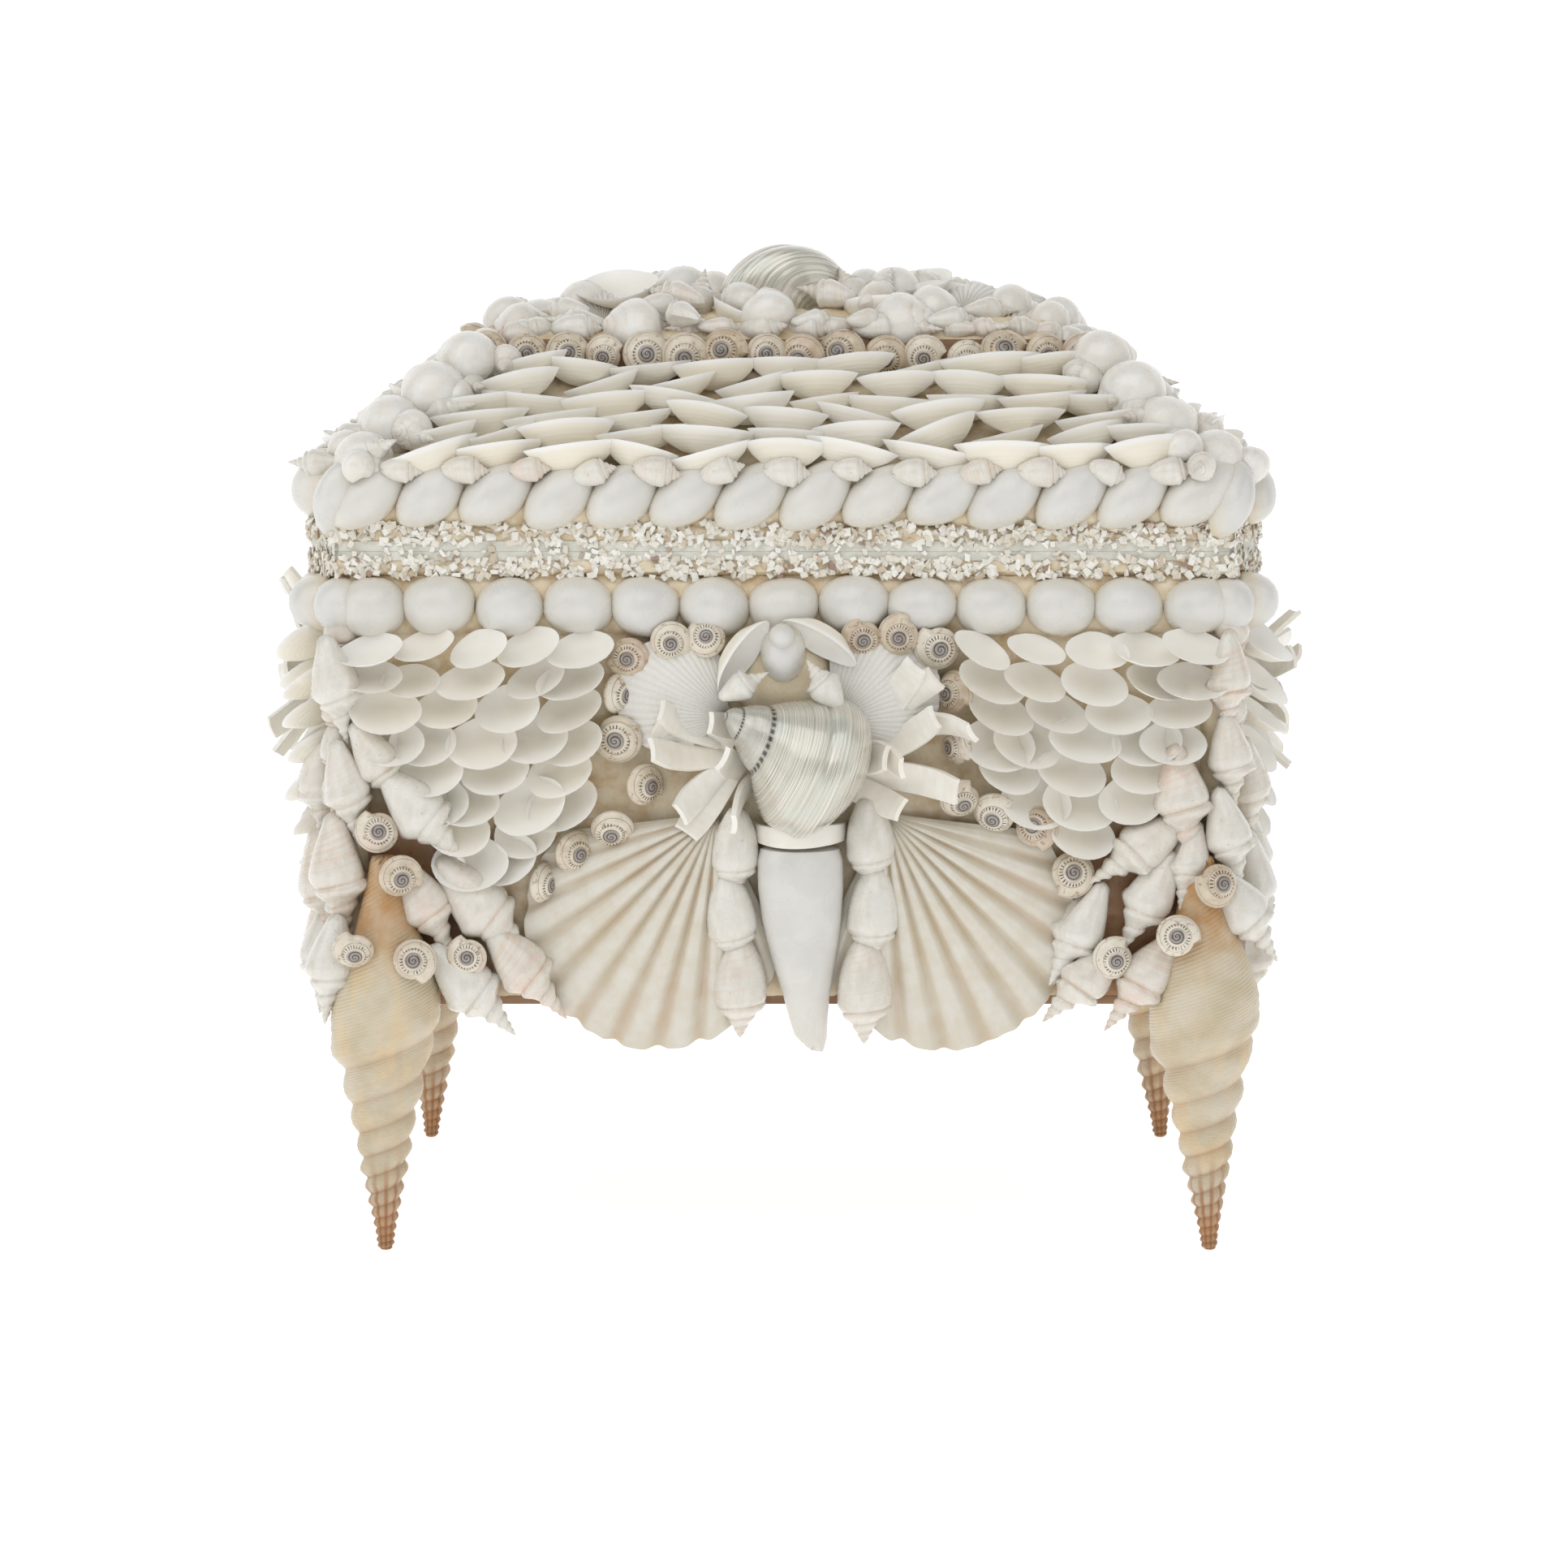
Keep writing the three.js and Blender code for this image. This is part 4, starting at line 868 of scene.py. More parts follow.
def belt():
    t = np.linspace(-np.pi / 2, np.pi / 2, 33)[:, None]
    deep, high = np.array([(0, -2.9), (1.0, -2.6), (1.3, 0), (1.0, 2.6), (0, 2.9), (-0.6, 0), (0, -2.9)]).T
    lean = 0.5 * np.sin(2 * t) + 1.2 * np.cos(t) ** 2 * np.sign(high)
    ring = np.stack([5.2 + (14.4 + deep * 0.7) * np.sin(t), -(19.0 + deep) * np.cos(t) - HALF_Y,
                     138.6 + high + lean * 0.6], -1)
    caps = [np.repeat(ring[[k]].mean(axis=1, keepdims=True), len(deep), axis=1) for k in (0, -1)]
    ring = np.concatenate([caps[0], ring, caps[1]])
    make("white_belt", [sew(ring.transpose(2, 0, 1), ())], CUT, "white_shell", ["belt"])


def head():
    crescent = cup(27, 12.5, 5.5, pointed=0.05, columns=40, rings=8, wall=2.2, seed=4)
    crescents = []
    for run, hinge in (((0.57, 0, 0.82), (-9.5, 193)), ((0.85, 0, -0.52), (9.0, 196))):
        away = unit(np.array([math.copysign(run[2], hinge[0]), 0, abs(run[0])]))
        rise, run = unit(0.6 * away + 0.8 * FRONT.out), unit(np.array(run))
        crescents.append(crescent.moved(np.column_stack([run, rise, np.cross(run, rise)]), FRONT.at(*hinge, 8), -1))
    make("head_crescents", crescents, CUP, "white_shell")
    bubble = [lay(pebble(14.5, 19, 11, 0.06, 2.2), FRONT, -0.3, 195.8, 6, tone=-1),
              lay(pebble(8.2, 8.4, 6.5), FRONT, -0.6, 201.5, 13, tone=-1)]
    make("head_bubble", bubble, WHITE, "white_shell", ["head"])
    lump = lay(pebble(34, 30, 9, 0.0, 2.2), FRONT, 0, 188)
    for look in lump.looks:
        look[..., 0] = 0.8
    make("glue_lump", [lump], BED, "crushed_shell")
    cheeks = [lay(CONCHES[0], FRONT, -12.5, 186.5, 17, turn=-62, size=(0.6, 0.48, 0.6), roll=20, tone=-1),
              lay(CONCHES[1], FRONT, 12.5, 186.5, 17, turn=34, size=(0.66, 0.54, 0.6), roll=-20, tone=-1)]
    make("cheek_conches", cheeks, CONCH, "cream_shell")


# Each wing: the scallop's beak, the small fan's place and turn, and its column of buds: across, height,
# length, turn.
WINGS = {
    "left": ((-21.5, 144.5), (-17, 176), 70, [(-15.7, 132, 30, 176), (-17, 111, 32, 187), (-14, 89, 33, 180)]),
    "right": ((32, 144.5), (15, 174), -58, [(27.2, 135, 31, 184), (28.2, 112.5, 33, 176), (25.5, 88, 35, 180)]),
}


def wings():
    scallop = fan(40.5, 9.5, 11, spread=54, rib=1.15, per_rib=12, rings=28, wall=1.4, edge=0.008)
    small_fan = fan(18.6, 5.2, 24, spread=60, rib=0.17, per_rib=6, rings=15, wall=0.7, edge=0.003)
    for side, (beak, root, fan_turn, buds) in WINGS.items():
        s = HANDS[side]
        chipped = 1 + 0.008 * waves(*scallop.points.T[:2], 6, 5 + s)
        own = Part(scallop.points * np.column_stack([chipped, chipped, 1 + 0 * chipped]), scallop.faces, scallop.looks)
        make("scallop_shell_" + side, [lay(own, FRONT, *beak, 2.2, turn=-s * 151, tone=0.5)], RIBBED, "cream_shell",
             ["scallop_" + side])
        make("small_fan_" + side, [lay(small_fan, FRONT, *root, 6.5, turn=fan_turn, tip=2, tone=-1)], RIBBED,
             "matte_shell", ["fan_" + side])
        column = [lay(BUDS[k % 2], FRONT, u, v, 8, turn=turn, roll=(20, -30, 10)[k],
                      size=(length / 31, length / 28, length / 30), tone=(-0.6, -0.9, 0.0)[k])
                  for k, (u, v, length, turn) in enumerate(buds)]
        make("bud_column_" + side, column, CONCH, "cream_shell", ["conch_column_" + side])


# Each strip: where it starts (across, up), turn from straight up, length along the wall, reach out of it, width,
# roll.
STRIPS = {
    "left": [(-8, 171, 84, 15, 15, 8, 12), (-16, 166, 66, 25, 9, 10, -14), (-18, 163, 100, 22, 21, 9, 24),
             (-15, 160, 120, 22, 15, 9.5, -16), (-17, 158, 146, 23, 9, 10, 8), (-13, 158, 62, 8, 27, 9, 10),
             (-10, 154, 88, 5, 25, 8.5, -34), (-20, 168, 78, 20, 16, 8, 30)],
    "right": [(20, 168, -50, 34, 14, 10, 12), (28, 172, -40, 24, 20, 9, -12), (22, 165, -84, 14, 22, 8, 16),
              (18, 162, -100, 13, 19, 9, -20), (27, 162, -66, 24, 20, 9, -22), (24, 158, -94, 30, 18, 9.5, 12),
              (16, 156, -118, 22, 16, 9, -10), (36, 170, -58, 20, 26, 8.5, 28)],
}


def strips(side):
    draw = Draw(31 + HANDS[side])
    parts = []
    for u, v, turn, length, out, width, roll in STRIPS[side]:
        path = [(0, 0), (0.5 * length, 0.22 * out), (0.8 * length, 0.5 * out), (length, 0.85 * out)]
        part = ribbon(path, [0.8 * width, width, width, 0.85 * width], thickness=1.7, dish=0.08)
        parts.append(lay(part, FRONT, u, v, 5, turn=turn, roll=roll + draw.near(4), tone=draw(-1, 0.4)))
    make("feather_strips_" + side, parts, CUT, "matte_shell", ["cut_strips_" + side])


# Button snails up the outer edge of the wings: across, height, width, and how far each leans over.
ARC_BUTTONS = {
    "left": [(-24, 200, 13, 10), (-36.2, 199.5, 13.5, 6), (-48.7, 195, 14, 12), (-54.7, 182.5, 14, 55),
             (-51.8, 169.4, 15.5, 14), (-46, 153.5, 14.5, 40), (-54.9, 141.2, 15, 30), (-68.3, 132.2, 14, 35),
             (-79.2, 122, 14, 62)],
    "right": [(24.5, 201, 13, 12), (36.7, 201.7, 14, 8), (48.2, 198, 15, 10), (55.5, 183, 14, 45),
              (57, 166, 13.5, 60), (55.5, 150.5, 14, 30), (67.7, 145.6, 14, 30), (80.6, 139.2, 14, 25),
              (91, 125, 14.5, 12)],
}


def button_arc(side):
    s = HANDS[side]
    draw = Draw(41 + s)
    parts = [lay(draw.pick(FINE_BUTTONS), FRONT, u, v, 4 + draw(0, 2), turn=draw.near(180) * (lean < 35),
                 tip=draw.near(12), roll=-s * lean, size=width / 14, tone=draw(-0.6, 1))
             for u, v, width, lean in ARC_BUTTONS[side]]
    make("button_snails_" + side, parts, BUTTON, "button_shell", ["button_arc_" + side])


# Corner clusters. Conches: across from the corner inwards, height, turn from straight down, length. Snails:
# across, height, lift.
CLUSTERS = {
    "front_left": ([(-1, 184, 10, 34), (2, 151, 12, 33), (26, 144, 42, 37), (-1, 124, 4, 40), (27, 114, 28, 33),
                    (45, 113, 42, 43), (-4, 95, -8, 34), (41, 88, 42, 37), (58, 94, 40, 37), (11, 95, 10, 30),
                    (12, 160, 30, 30)],
                   [(11.5, 139.5, 10), (18, 126, 14), (4.5, 104, 17), (23, 99, 17), (40, 99.5, 11)]),
    "front_right": ([(0, 186, 0, 32), (-1, 161, 6, 30), (14, 148, 8, 36), (28, 133, -56, 36), (-1, 136, 13, 33),
                     (47, 106, -27, 35), (25, 116, -27, 35), (-7, 112, 34, 34), (45, 91, -44, 34),
                     (26, 91, -37, 37), (12, 128, -10, 28)],
                    [(4.5, 123, 14), (16, 106.5, 17), (36, 99, 10)]),
    "plain": ([(11, 150, 6, 34), (24, 126, 24, 38), (9, 118, 4, 38), (10, 95, -4, 34), (28, 98, 30, 36),
               (45, 96, 44, 34)], []),
}


def cluster(side, corner):
    s = HANDS[corner]
    draw = Draw(50 + 2 * SIDES.index(side) + (s > 0))
    front = side == "front"
    conches, snails = CLUSTERS["front_" + corner if front else "plain"]
    edge = s * half_width(side)
    parts = [lay(draw.pick(CONCHES if front else PLAIN_CONCHES), WALLS[side], edge - s * u, v, 7.5 + draw(-1, 2.5),
                 turn=180 + (1 if front else -s) * turn, roll=draw.near(60), tip=draw(-6, 8), size=length / 34,
                 tone=draw.near(1))
             for u, v, turn, length in conches]
    make(f"corner_conches_{side}_{corner}", parts, CONCH, "cream_shell", [f"conches_{side}_{corner}"])
    if snails:
        parts = [lay(FINE_BUTTONS[0], WALLS[side], edge - s * u, v, lift, turn=draw.near(180), tip=draw.near(14),
                     roll=draw.near(25), size=draw(0.92, 1.05), tone=draw(-0.6, 1))
                 for u, v, lift in snails]
        make("corner_buttons_" + corner, parts, BUTTON, "button_shell")


# ---- Cups on the walls ----

# The field on each side of the figure: height, its inner and outer edge.
CUP_EDGES = [(200, 55, 139), (184, 61, 134), (170, 60, 130), (156, 61, 120), (144, 69, 112), (132, 82, 106),
             (120, 88, 100)]


def cup_row(kinds, on, draw, v, low, high, tilt, pitch, shift, fan_out=0.0, roll=14, scale=1.0):
    """One row of cups between two places across, hanging from their hinges, open upwards."""
    count = max(1, round((high - low) / pitch))
    parts = []
    for i in range(count + (shift > 0)):
        u = low + (i + 0.5 - 0.5 * shift) * (high - low) / count
        u = min(max(u, low + 7), high - 7) + draw.near(1.2)
        part = draw.pick(kinds)
        angle = tilt + draw.near(7)
        size = scale * draw(0.93, 1.07)
        hinge = v + 9 * size * math.cos(math.radians(angle)) + draw.near(1)
        turn = 180 + draw.near(9) + fan_out * (2 * (u - low) / max(high - low, 1) - 1)
        parts.append(lay(part, on, u, hinge, 4.2 + 0.5 * (-1) ** i + draw.near(0.3), turn=turn, tip=-angle,
                         roll=roll + draw.near(4), size=size, tone=draw.near(1)))
    return parts


def front_cups(side):
    s = HANDS[side]
    draw = Draw(70 + s)
    heights, inner, outer = np.array(CUP_EDGES, float)[::-1].T
    parts = []
    for row in range(8 if s < 0 else 7):
        v = 198.0 - 9.8 * row
        low = np.interp(v, heights, inner) + (s > 0) * 7 * (1 - ease(148, 165, v))
        ends = sorted(s * np.array([low, np.interp(v, heights, outer)]))
        tilt = np.interp(row, [0, 1, 3, 5, 8], [56, 50, 40, 35, 30])
        scale = np.interp(row, [0, 3, 8], [0.84, 0.93, 0.98])
        parts += cup_row(CUPS, FRONT, draw, v, *ends, tilt, 20.5 * scale, row % 2, 8 + 2 * row, -12 * s, scale)
    make("clam_halves_front_" + side, parts, CUP, "matte_shell", ["cups_front_" + side])


def wall_cups(side):
    draw = Draw(80 + SIDES.index(side))
    parts = []
    for row in range(10):
        v = 198 - 11.2 * row
        reach = half_width(side) * np.interp(v, [95, 150, 200], [0.5, 0.9, 0.97])
        tilt = np.interp(row, [0, 9], [54, 36])
        parts += cup_row(PLAIN_CUPS, WALLS[side], draw, v, -reach, reach, tilt, 23, row % 2)
    make("clam_halves_" + side, parts, CUP, "matte_shell", ["cups_" + side])


def rosette(side):
    """Cut strips curling out round a small snail."""
    draw = Draw(90 + SIDES.index(side))
    heart = level("flower_" + side) + {"left": 10, "right": 2}.get(side, 0)
    parts = []
    for i in range(9):
        length, out = draw(24, 30), draw(20, 29)
        path = [(0, 0), (0.4 * length, 0.5 * out), (0.75 * length, 0.85 * out), (length, out + draw(-3, 5))]
        parts.append(lay(ribbon(path, [5, 8.5, 9, 8]), WALLS[side], 0, heart, 5, turn=40 * i + draw.near(9),
                         roll=draw.near(25), tone=draw.near(1)))
    make("rosette_" + side, parts, CUT, "matte_shell", ["flower_" + side])
    make("rosette_heart_" + side, [lay(MOONS[0], WALLS[side], 0, heart, 18, tip=-90, size=1.15)], PEARL, "pearl")


# ---- The lid ----


def slope_boats(side):
    """Rows of narrow halves on a slope, open upwards, their rims level."""
    draw = Draw(100 + SIDES.index(side))
    parts = []
    for row in range(6):
        v = 5.5 + 8.7 * row
        reach = half_width(side) - 11 - LID_INSET * v / SLOPE_LENGTH
        count = max(2, round(2 * reach / 23.5))
        for i in range(count + row % 2):
            u = -reach + (i + 0.5 - 0.5 * (row % 2)) * 2 * reach / count
            u = min(max(u, 6 - reach), reach - 6) + draw.near(1.5)
            parts.append(lay(draw.pick(BOATS if side == "front" else PLAIN_BOATS), slope_of(side), u,
                             v + 3 + draw.near(0.8), 5.0 + draw.near(0.8), turn=185 + draw.near(13),
                             tip=-draw(36, 56), roll=draw.near(12), size=draw(0.88, 1.12), tone=draw.near(1)))
    make("boat_shells_" + side, parts, CUP, "matte_shell", ["slope_shells_" + side])


def border(side):
    draw = Draw(110 + SIDES.index(side))
    wall = WALLS[side]
    on = Face(wall.origin - wall.out * LID_INSET, wall.along, wall.up)
    kinds = FINE_BUTTONS if side == "front" else PLAIN_BUTTONS
    parts = []
    for u in evenly(16 if broad(side) else 7, pitch=12.9):
        u += draw.near(0.4)
        parts.append(lay(draw.pick(kinds), on, u, BORDER_LEVEL - 0.5 + draw.near(0.8), 0.5 + draw(0, 1),
                         turn=draw.near(60), tip=draw(-8, 16), roll=draw.near(22), size=draw(0.92, 1.12),
                         tone=draw(-1, 0.4)))
    make("border_buttons_" + side, parts, BUTTON, "button_shell", ["button_border_" + side])


def ridge(corner):
    sx, sy = CORNERS[corner]
    draw = Draw(120 + sx + 2 * sy)
    foot = np.array([sx * HALF_X, sy * HALF_Y, EAVES])
    top = np.array([sx * (HALF_X - LID_INSET), sy * (HALF_Y - LID_INSET), BROW])
    up, length = unit(top - foot), np.linalg.norm(top - foot)
    out = np.array([sx * (BROW - EAVES), sy * (BROW - EAVES), 2 * LID_INSET])
    on = Face(foot, np.cross(up, unit(out)), up)
    whorled, knobbly = [], []
    for i, (size, lift) in enumerate(((1.0, 2), (1.08, 4), (1.1, 7), (1.0, 9))):
        whorled.append(lay(BIG_MOONS[0], on, draw.near(4), 9 + 17.5 * i, lift, turn=-90 * sx + draw.near(25),
                           tip=draw(-25, 5), roll=draw.near(30), size=(size * 0.92, size * 1.1, size * 0.9),
                           tone=draw(-1, -0.5)))
    for i in range(7):
        whorled.append(lay(draw.pick(MOONS), on, (-1 if i % 2 else 1) * draw(9, 12), 2 + (length - 4) * i / 6, 4,
                           turn=draw.near(180), tip=draw(-40, 10), size=draw(0.5, 0.66), tone=draw(-1, -0.2)))
    for i in range(10):
        s = 1 if i % 2 else -1
        knobbly.append(lay(draw.pick(PLAIN_CONCHES), on, s * draw(9, 14), 2 + (length - 4) * i / 9,
                           2.5 + draw(0, 3), turn=s * draw(-140, -60), tip=draw(-20, 10), roll=draw.near(60),
                           size=draw(0.5, 0.68), tone=draw(-1, 0)))
    make("hip_snails_" + corner, whorled, WHITE_SNAIL, "white_shell", ["ridge_" + corner])
    make("hip_conches_" + corner, knobbly, CONCH, "cream_shell")


# The heap on the lid: the shapes of each kind and the piece that they are in, and each piece's looks.
HEAP_KINDS = {"conch": (HEAP_CONCHES, "conches"), "small": (SMALL_CONCHES, "conches"), "moon": (BIG_MOONS, "snails"),
              "cockle": (COCKLES, "cockles"), "bowl": (BOWLS, "clam_halves"), "button": (FINE_BUTTONS, "buttons")}
HEAP_PIECES = {"conches": (CONCH, "cream_shell"), "snails": (WHITE_SNAIL, "white_shell"),
               "cockles": (RIBBED, "cream_shell"), "clam_halves": (CUP, "matte_shell"),
               "buttons": (BUTTON, "button_shell")}
# The front of the heap. Each: kind, across, depth, lift, turn, tip, size.
HEAP = [
    ("moon", -97, -37, 5, 0, 0, 0.6), ("conch", -84, -39, 5, -80, 0, 0.5),
    ("cockle", -79, -32, 5, 12, -34, 0.95), ("conch", -68, -39, 6, 96, -4, 0.55),
    ("moon", -50, -37, 9, 112, -10, 1.0), ("cockle", -61, -24, 9, 8, -42, 1.0),
    ("conch", -34, -40, 8, 40, -8, 0.56), ("bowl", -21, -38, 13, -48, 14, 1.15),
    ("moon", -5, -37, 10, 20, -60, 0.86), ("conch", 11, -41, 6, -74, -4, 0.5),
    ("bowl", 21, -35, 13, -52, 12, 1.05), ("conch", 28, -42, 6, -58, 0, 0.5),
    ("moon", 40, -35, 11, -120, -16, 1.12), ("cockle", 60, -24, 10, -12, -34, 0.95),
    ("conch", 56, -39, 6, -70, 0, 0.56), ("cockle", 73, -35, 5, -14, -34, 0.95),
    ("conch", 87, -39, 6, -96, 0, 0.5), ("small", 96, -34, 8, -60, 0, 1.1), ("button", 99, -38, 4, 30, 0, 0.85),
    ("button", -102, -30, 3, 30, 0, 0.8), ("small", -40, -34, 10, -60, 0, 1.2),
    ("bowl", -42, -18, 20, 92, 10, 1.1), ("conch", -28, -22, 20, -14, -50, 0.7),
    ("small", -14, -32, 18, 40, 0, 1.3), ("conch", -36, -28, 14, 60, -10, 0.66),
    ("conch", 14, -30, 15, 70, -10, 0.6), ("conch", 22, -22, 21, 24, -40, 0.66),
    ("conch", 32, -20, 22, -28, -44, 0.66), ("bowl", 44, -20, 17, -84, 12, 1.1),
    ("moon", 50, -28, 11, -70, -10, 0.9), ("small", 30, -30, 16, -30, -10, 1.3),
    ("cockle", -48, -10, 17, -8, -36, 1.0), ("cockle", 60, -10, 13, 12, -30, 1.0),
    ("conch", -72, -28, 9, 50, 0, 0.6), ("conch", 68, -29, 9, -60, 0, 0.6), ("moon", 86, -25, 9, 70, -10, 0.85),
    ("moon", -88, -25, 8, 70, -10, 0.8), ("moon", -68, -10, 12, 70, 0, 0.95), ("moon", 74, -14, 11, 70, 0, 0.9),
    ("moon", -92, -8, 8, 20, -30, 0.8), ("moon", 92, -10, 8, -20, -30, 0.7), ("moon", -34, -6, 17, 30, 0, 0.95),
    ("moon", 38, -6, 17, -40, 0, 1.0), ("conch", 46, -2, 18, 60, -20, 0.7),
    ("conch", -54, -2, 15, -60, -20, 0.7),
]


def crown(u, v):
    """The height that the heap reaches, over the foot of the box."""
    return 318.5 - 14 * (u / 100) ** 2 - 9 * ease(16, 40, abs(v))


def heap_spots(draw):
    """The front of the heap, a row at its foot, and shells scattered over the back, as high as the crown."""
    spots = list(HEAP)
    for u in np.arange(-90, 91, 12.0):
        kind, size = draw.pick((("conch", 0.5), ("small", 1.15)))
        spots.append((kind, u + draw.near(3), -40 + draw(-2, 1), 3.5, draw(60, 120) * draw.rng.choice((-1, 1)),
                      draw.near(10), size))
    for u in np.arange(-91, 92, 13.0):
        for v in np.arange(4, 42, 12.0):
            x, y = u + draw.near(3) + 7 * (round(v) % 2), v + draw.near(3)
            if math.hypot(x + 1, y * 0.8 + 1) < 27:
                continue
            kind = draw.pick(("conch", "moon", "cockle", "conch", "small", "moon", "bowl"))
            if abs(x) > 46:
                kind = {"cockle": "moon", "bowl": "conch"}.get(kind, kind)
            size = {"conch": 0.72, "moon": 0.95, "cockle": 1.0, "small": 1.5, "bowl": 0.95}[kind] * draw(0.88, 1.1)
            away = math.degrees(math.atan2(-x, y))
            turn = 180 - away + draw.near(40) if kind == "cockle" else draw.near(180)
            spots.append((kind, x, y, None, turn, {"cockle": -10, "bowl": 8}.get(kind, 0), size))
    return spots


def heap():
    draw = Draw(7)
    pieces = {}
    for kind, u, v, lift, turn, tip, size in heap_spots(draw):
        shapes, piece = HEAP_KINDS[kind]
        part, tone = draw.pick(shapes), draw(-1, 0.3)
        part = lay(part, TOP, u, v, lift or 0, turn=turn, tip=tip, roll=draw.near(25), size=size, tone=tone)
        over = part.points[:, 2].max() - crown(u, v)
        part.points[:, 2] -= over + draw(0, 4) if lift is None else max(over, 0)
        pieces.setdefault(piece, []).append(part)
    for piece, parts in pieces.items():
        make("heap_" + piece, parts, *HEAP_PIECES[piece], ["lid_top_shells"] if piece == "conches" else ())


def top_turban():
    along = unit(np.array([-0.2, 0.9, 0.38]))
    across = unit(np.cross(along, (0, 0, 1)))
    part = turban(46, 45).moved(np.column_stack([across, along, np.cross(across, along)]), (-1, 0, 0), 0)
    part.points[:, 2] += span("top_turban")[1][2] - 0.4 - part.points[:, 2].max()
    make("pearl_turban_top", [part], PEARL, "pearl", ["top_turban"])


# ---- The corners and the glue bed ----


def corner_shells():
    """Small shells up the four corners, where the rows and the walls meet."""
    draw = Draw(130)
    whites, conches, glue_bars = [], [], []
    for sx, sy in CORNERS.values():
        out = np.array([sx, sy, 0]) / math.sqrt(2)
        on = Face((sx * HALF_X, sy * HALF_Y, 0), np.cross((0, 0, 1), out), (0, 0, 1))
        whites.append(lay(draw.pick(PEBBLES), on, 0, MOON_LEVEL, -0.6, size=(0.74, 0.95, 1.0), tone=draw.near(1)))
        whites.append(lay(draw.pick(ALMONDS), on, 0, OVAL_LEVEL - 1, -1, turn=70, size=(0.92, 0.84, 1.1),
                          tone=draw.near(1)))
        glue_bars.append(lay(pebble(13, 122, 8, point=5, columns=44), on, 0, 144, -4))
        for k in range(9):
            conches.append(lay(draw.pick(SMALL_CONCHES), on, draw.near(1.5), 202 - 12.5 * k, 1.5,
                               turn=draw(120, 240), roll=draw.near(60), size=draw(1.05, 1.35), tone=draw.near(1)))
    make("corner_whites", whites, WHITE, "white_shell")
    make("corner_glue", glue_bars, BED, "crushed_shell")
    make("corner_small_conches", conches, CONCH, "cream_shell")


def beds():
    for side, wall in WALLS.items():
        edge = half_width(side)

        # Darker brown glue low on the wall under the corner clusters, fading out upwards and towards the middle.
        def brown_patch(u, v):
            return ease(edge - 62, edge - 34, np.abs(u)) * (1 - ease(125, 165, v))

        parts = [crust(wall, edge, 84, 203, 3.2, 0.3, 1.7, 200, brown_patch=brown_patch),
                 crust(wall, edge, 200, 220, 3.2, 0.6 + proud(side), 3.0 + proud(side), 210),
                 crust(wall, edge, 234, 252, 3.2, 0.6 + proud(side), 3.0 + proud(side), 220)]
        make("glue_bed_" + side, parts, BED, "crushed_shell")
        slope = crust(slope_of(side), edge, 0, SLOPE_LENGTH, 3.2, 0.5, 2.1, 230, taper=LID_INSET / edge)
        make("glue_slope_" + side, [slope], BED, "crushed_shell")

    reach_x, reach_y = HALF_X - LID_INSET, HALF_Y - LID_INSET

    def mound(u, v):
        rise = np.minimum((reach_x - np.abs(u)) / 16, (reach_y - np.abs(v)) / 12)
        return 5 * ease(0, 1, rise) + 3 * ease(0, 1, (62 - np.hypot(u, v)) / 40)

    make("glue_mound", [crust(TOP, reach_x, -reach_y, reach_y, 3.0, 0.5, 3.0, 240, mound)], BED, "crushed_shell")


# ---- All of it ----

for side in SIDES:
    moon_row(side)
    oval_row(side)
    border(side)
    slope_boats(side)
    for corner in HANDS:
        cluster(side, corner)
for side in SIDES[1:]:
    wall_cups(side)
    rosette(side)
for corner in CORNERS:
    leg(corner)
    ridge(corner)
for side in HANDS:
    strips(side)
    button_arc(side)
    front_cups(side)
crushed_band("crushed_band_box", (219.6, 225.0), (224.4, 227.28), (SUNK, 1.2), 300)
crushed_band("crushed_band_lid", (230.0, 236.0), (227.32, 230.6), (1.2, SUNK), 310)
make("pearl_turban_front", [lay(turban(50, 46), FRONT, 2, 165.5, 14.5, turn=58, tip=-14)], PEARL, "pearl",
     ["front_turban"])
tusk()
belt()
head()
wings()
heap()
top_turban()
corner_shells()
beds()

# ---- Floor, light and camera ----

scene = bpy.context.scene


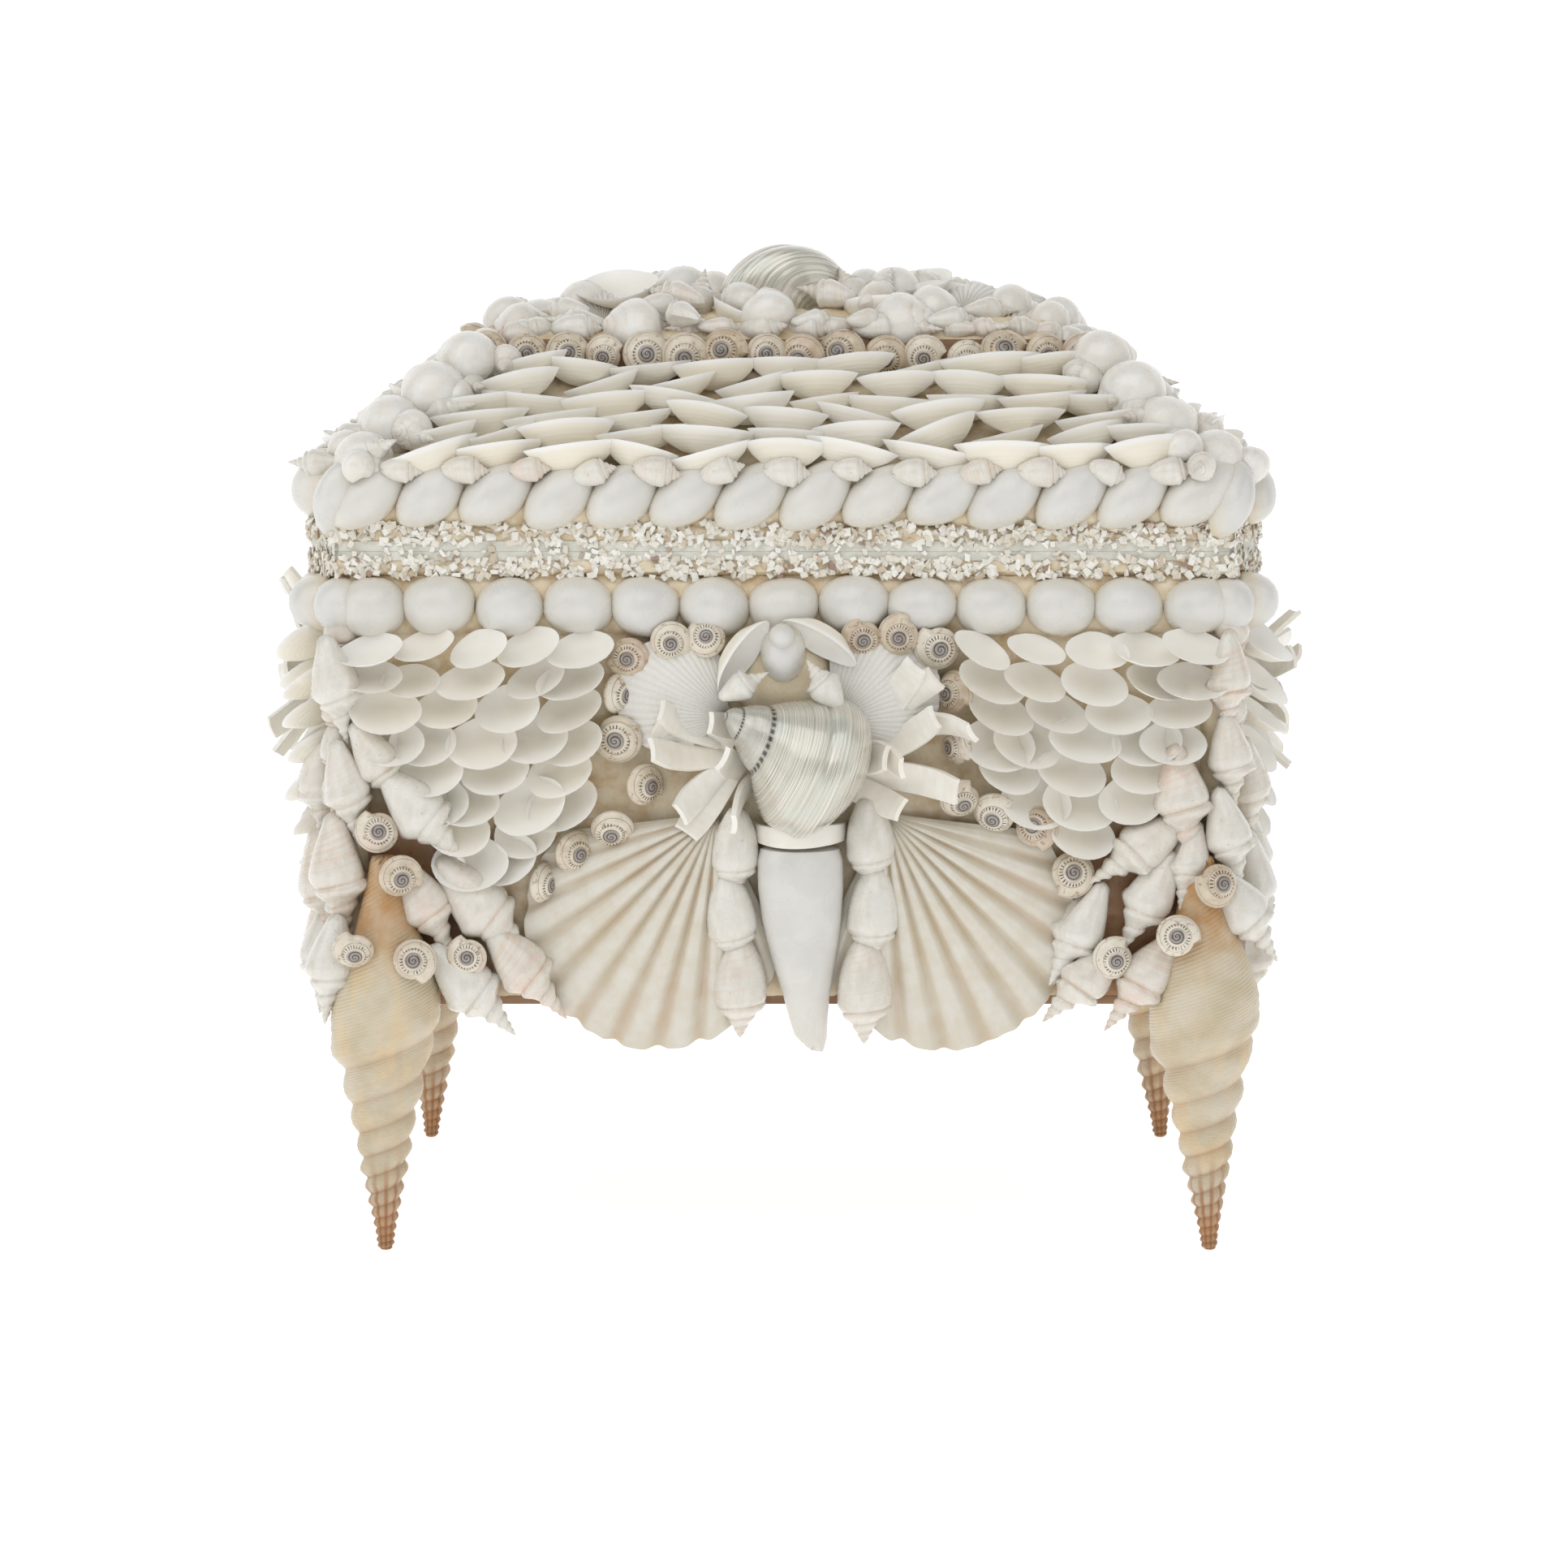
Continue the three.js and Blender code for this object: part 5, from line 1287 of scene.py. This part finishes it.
def studio_floor():
    steps = [(-6.0, 0.0), (1.2, 0.0)]
    steps += [(1.2 + 0.9 * math.sin(a), 0.9 - 0.9 * math.cos(a)) for a in np.radians(np.arange(10, 91, 10))]
    steps += [(2.1, 5.0)]
    mesh = bpy.data.meshes.new("studio_floor")
    points = [(x, y, z) for y, z in steps for x in (-6, 6)]
    mesh.from_pydata(points, [], [(2 * k, 2 * k + 1, 2 * k + 3, 2 * k + 2) for k in range(len(steps) - 1)])
    mesh.shade_smooth()
    look = Look("studio_floor", Roughness=0.9, IOR=1.3, Emission_Color=(1, 1, 1, 1), Emission_Strength=0.78)
    look.color = look.mix(look.cloud(400, 2), (0.50, 0.50, 0.50), (0.54, 0.54, 0.54))
    mesh.materials.append(look.done(None))
    floor = bpy.data.objects.new("studio_floor", mesh)
    scene.collection.objects.link(floor)


def softbox(name, place, width, height, watts):
    """A soft lamp that faces the middle of the box."""
    light = bpy.data.lights.new(name, "AREA")
    light.shape = "RECTANGLE"
    light.size, light.size_y = width, height
    light.energy = watts
    lamp = bpy.data.objects.new(name, light)
    lamp.location = place
    lamp.rotation_euler = (Vector((0, 0, 0.18)) - Vector(place)).to_track_quat("-Z", "Y").to_euler()
    scene.collection.objects.link(lamp)


studio_floor()
softbox("softbox_above", (-0.25, -1.0, 1.3), 1.6, 1.3, 8.2)
softbox("softbox_left", (-1.15, -0.75, 0.75), 0.9, 1.1, 2.8)
softbox("softbox_right", (1.2, -0.7, 0.65), 0.9, 1.0, 2.0)

world = bpy.data.worlds.new("studio")
world.use_nodes = True
background = world.node_tree.nodes["Background"]
background.inputs["Color"].default_value = (1, 1, 1, 1)
background.inputs["Strength"].default_value = 0.345
scene.world = world
scene.view_settings.view_transform = "Standard"

camera = bpy.data.cameras.new("camera")
camera.sensor_width = 36
camera.lens = 89.74
camera.clip_end = 20
view = bpy.data.objects.new("camera", camera)
view.location = (0, -1.3214, 0.3155)
view.rotation_euler = (math.radians(90 - 7.5), 0, 0)
scene.collection.objects.link(view)
scene.camera = view
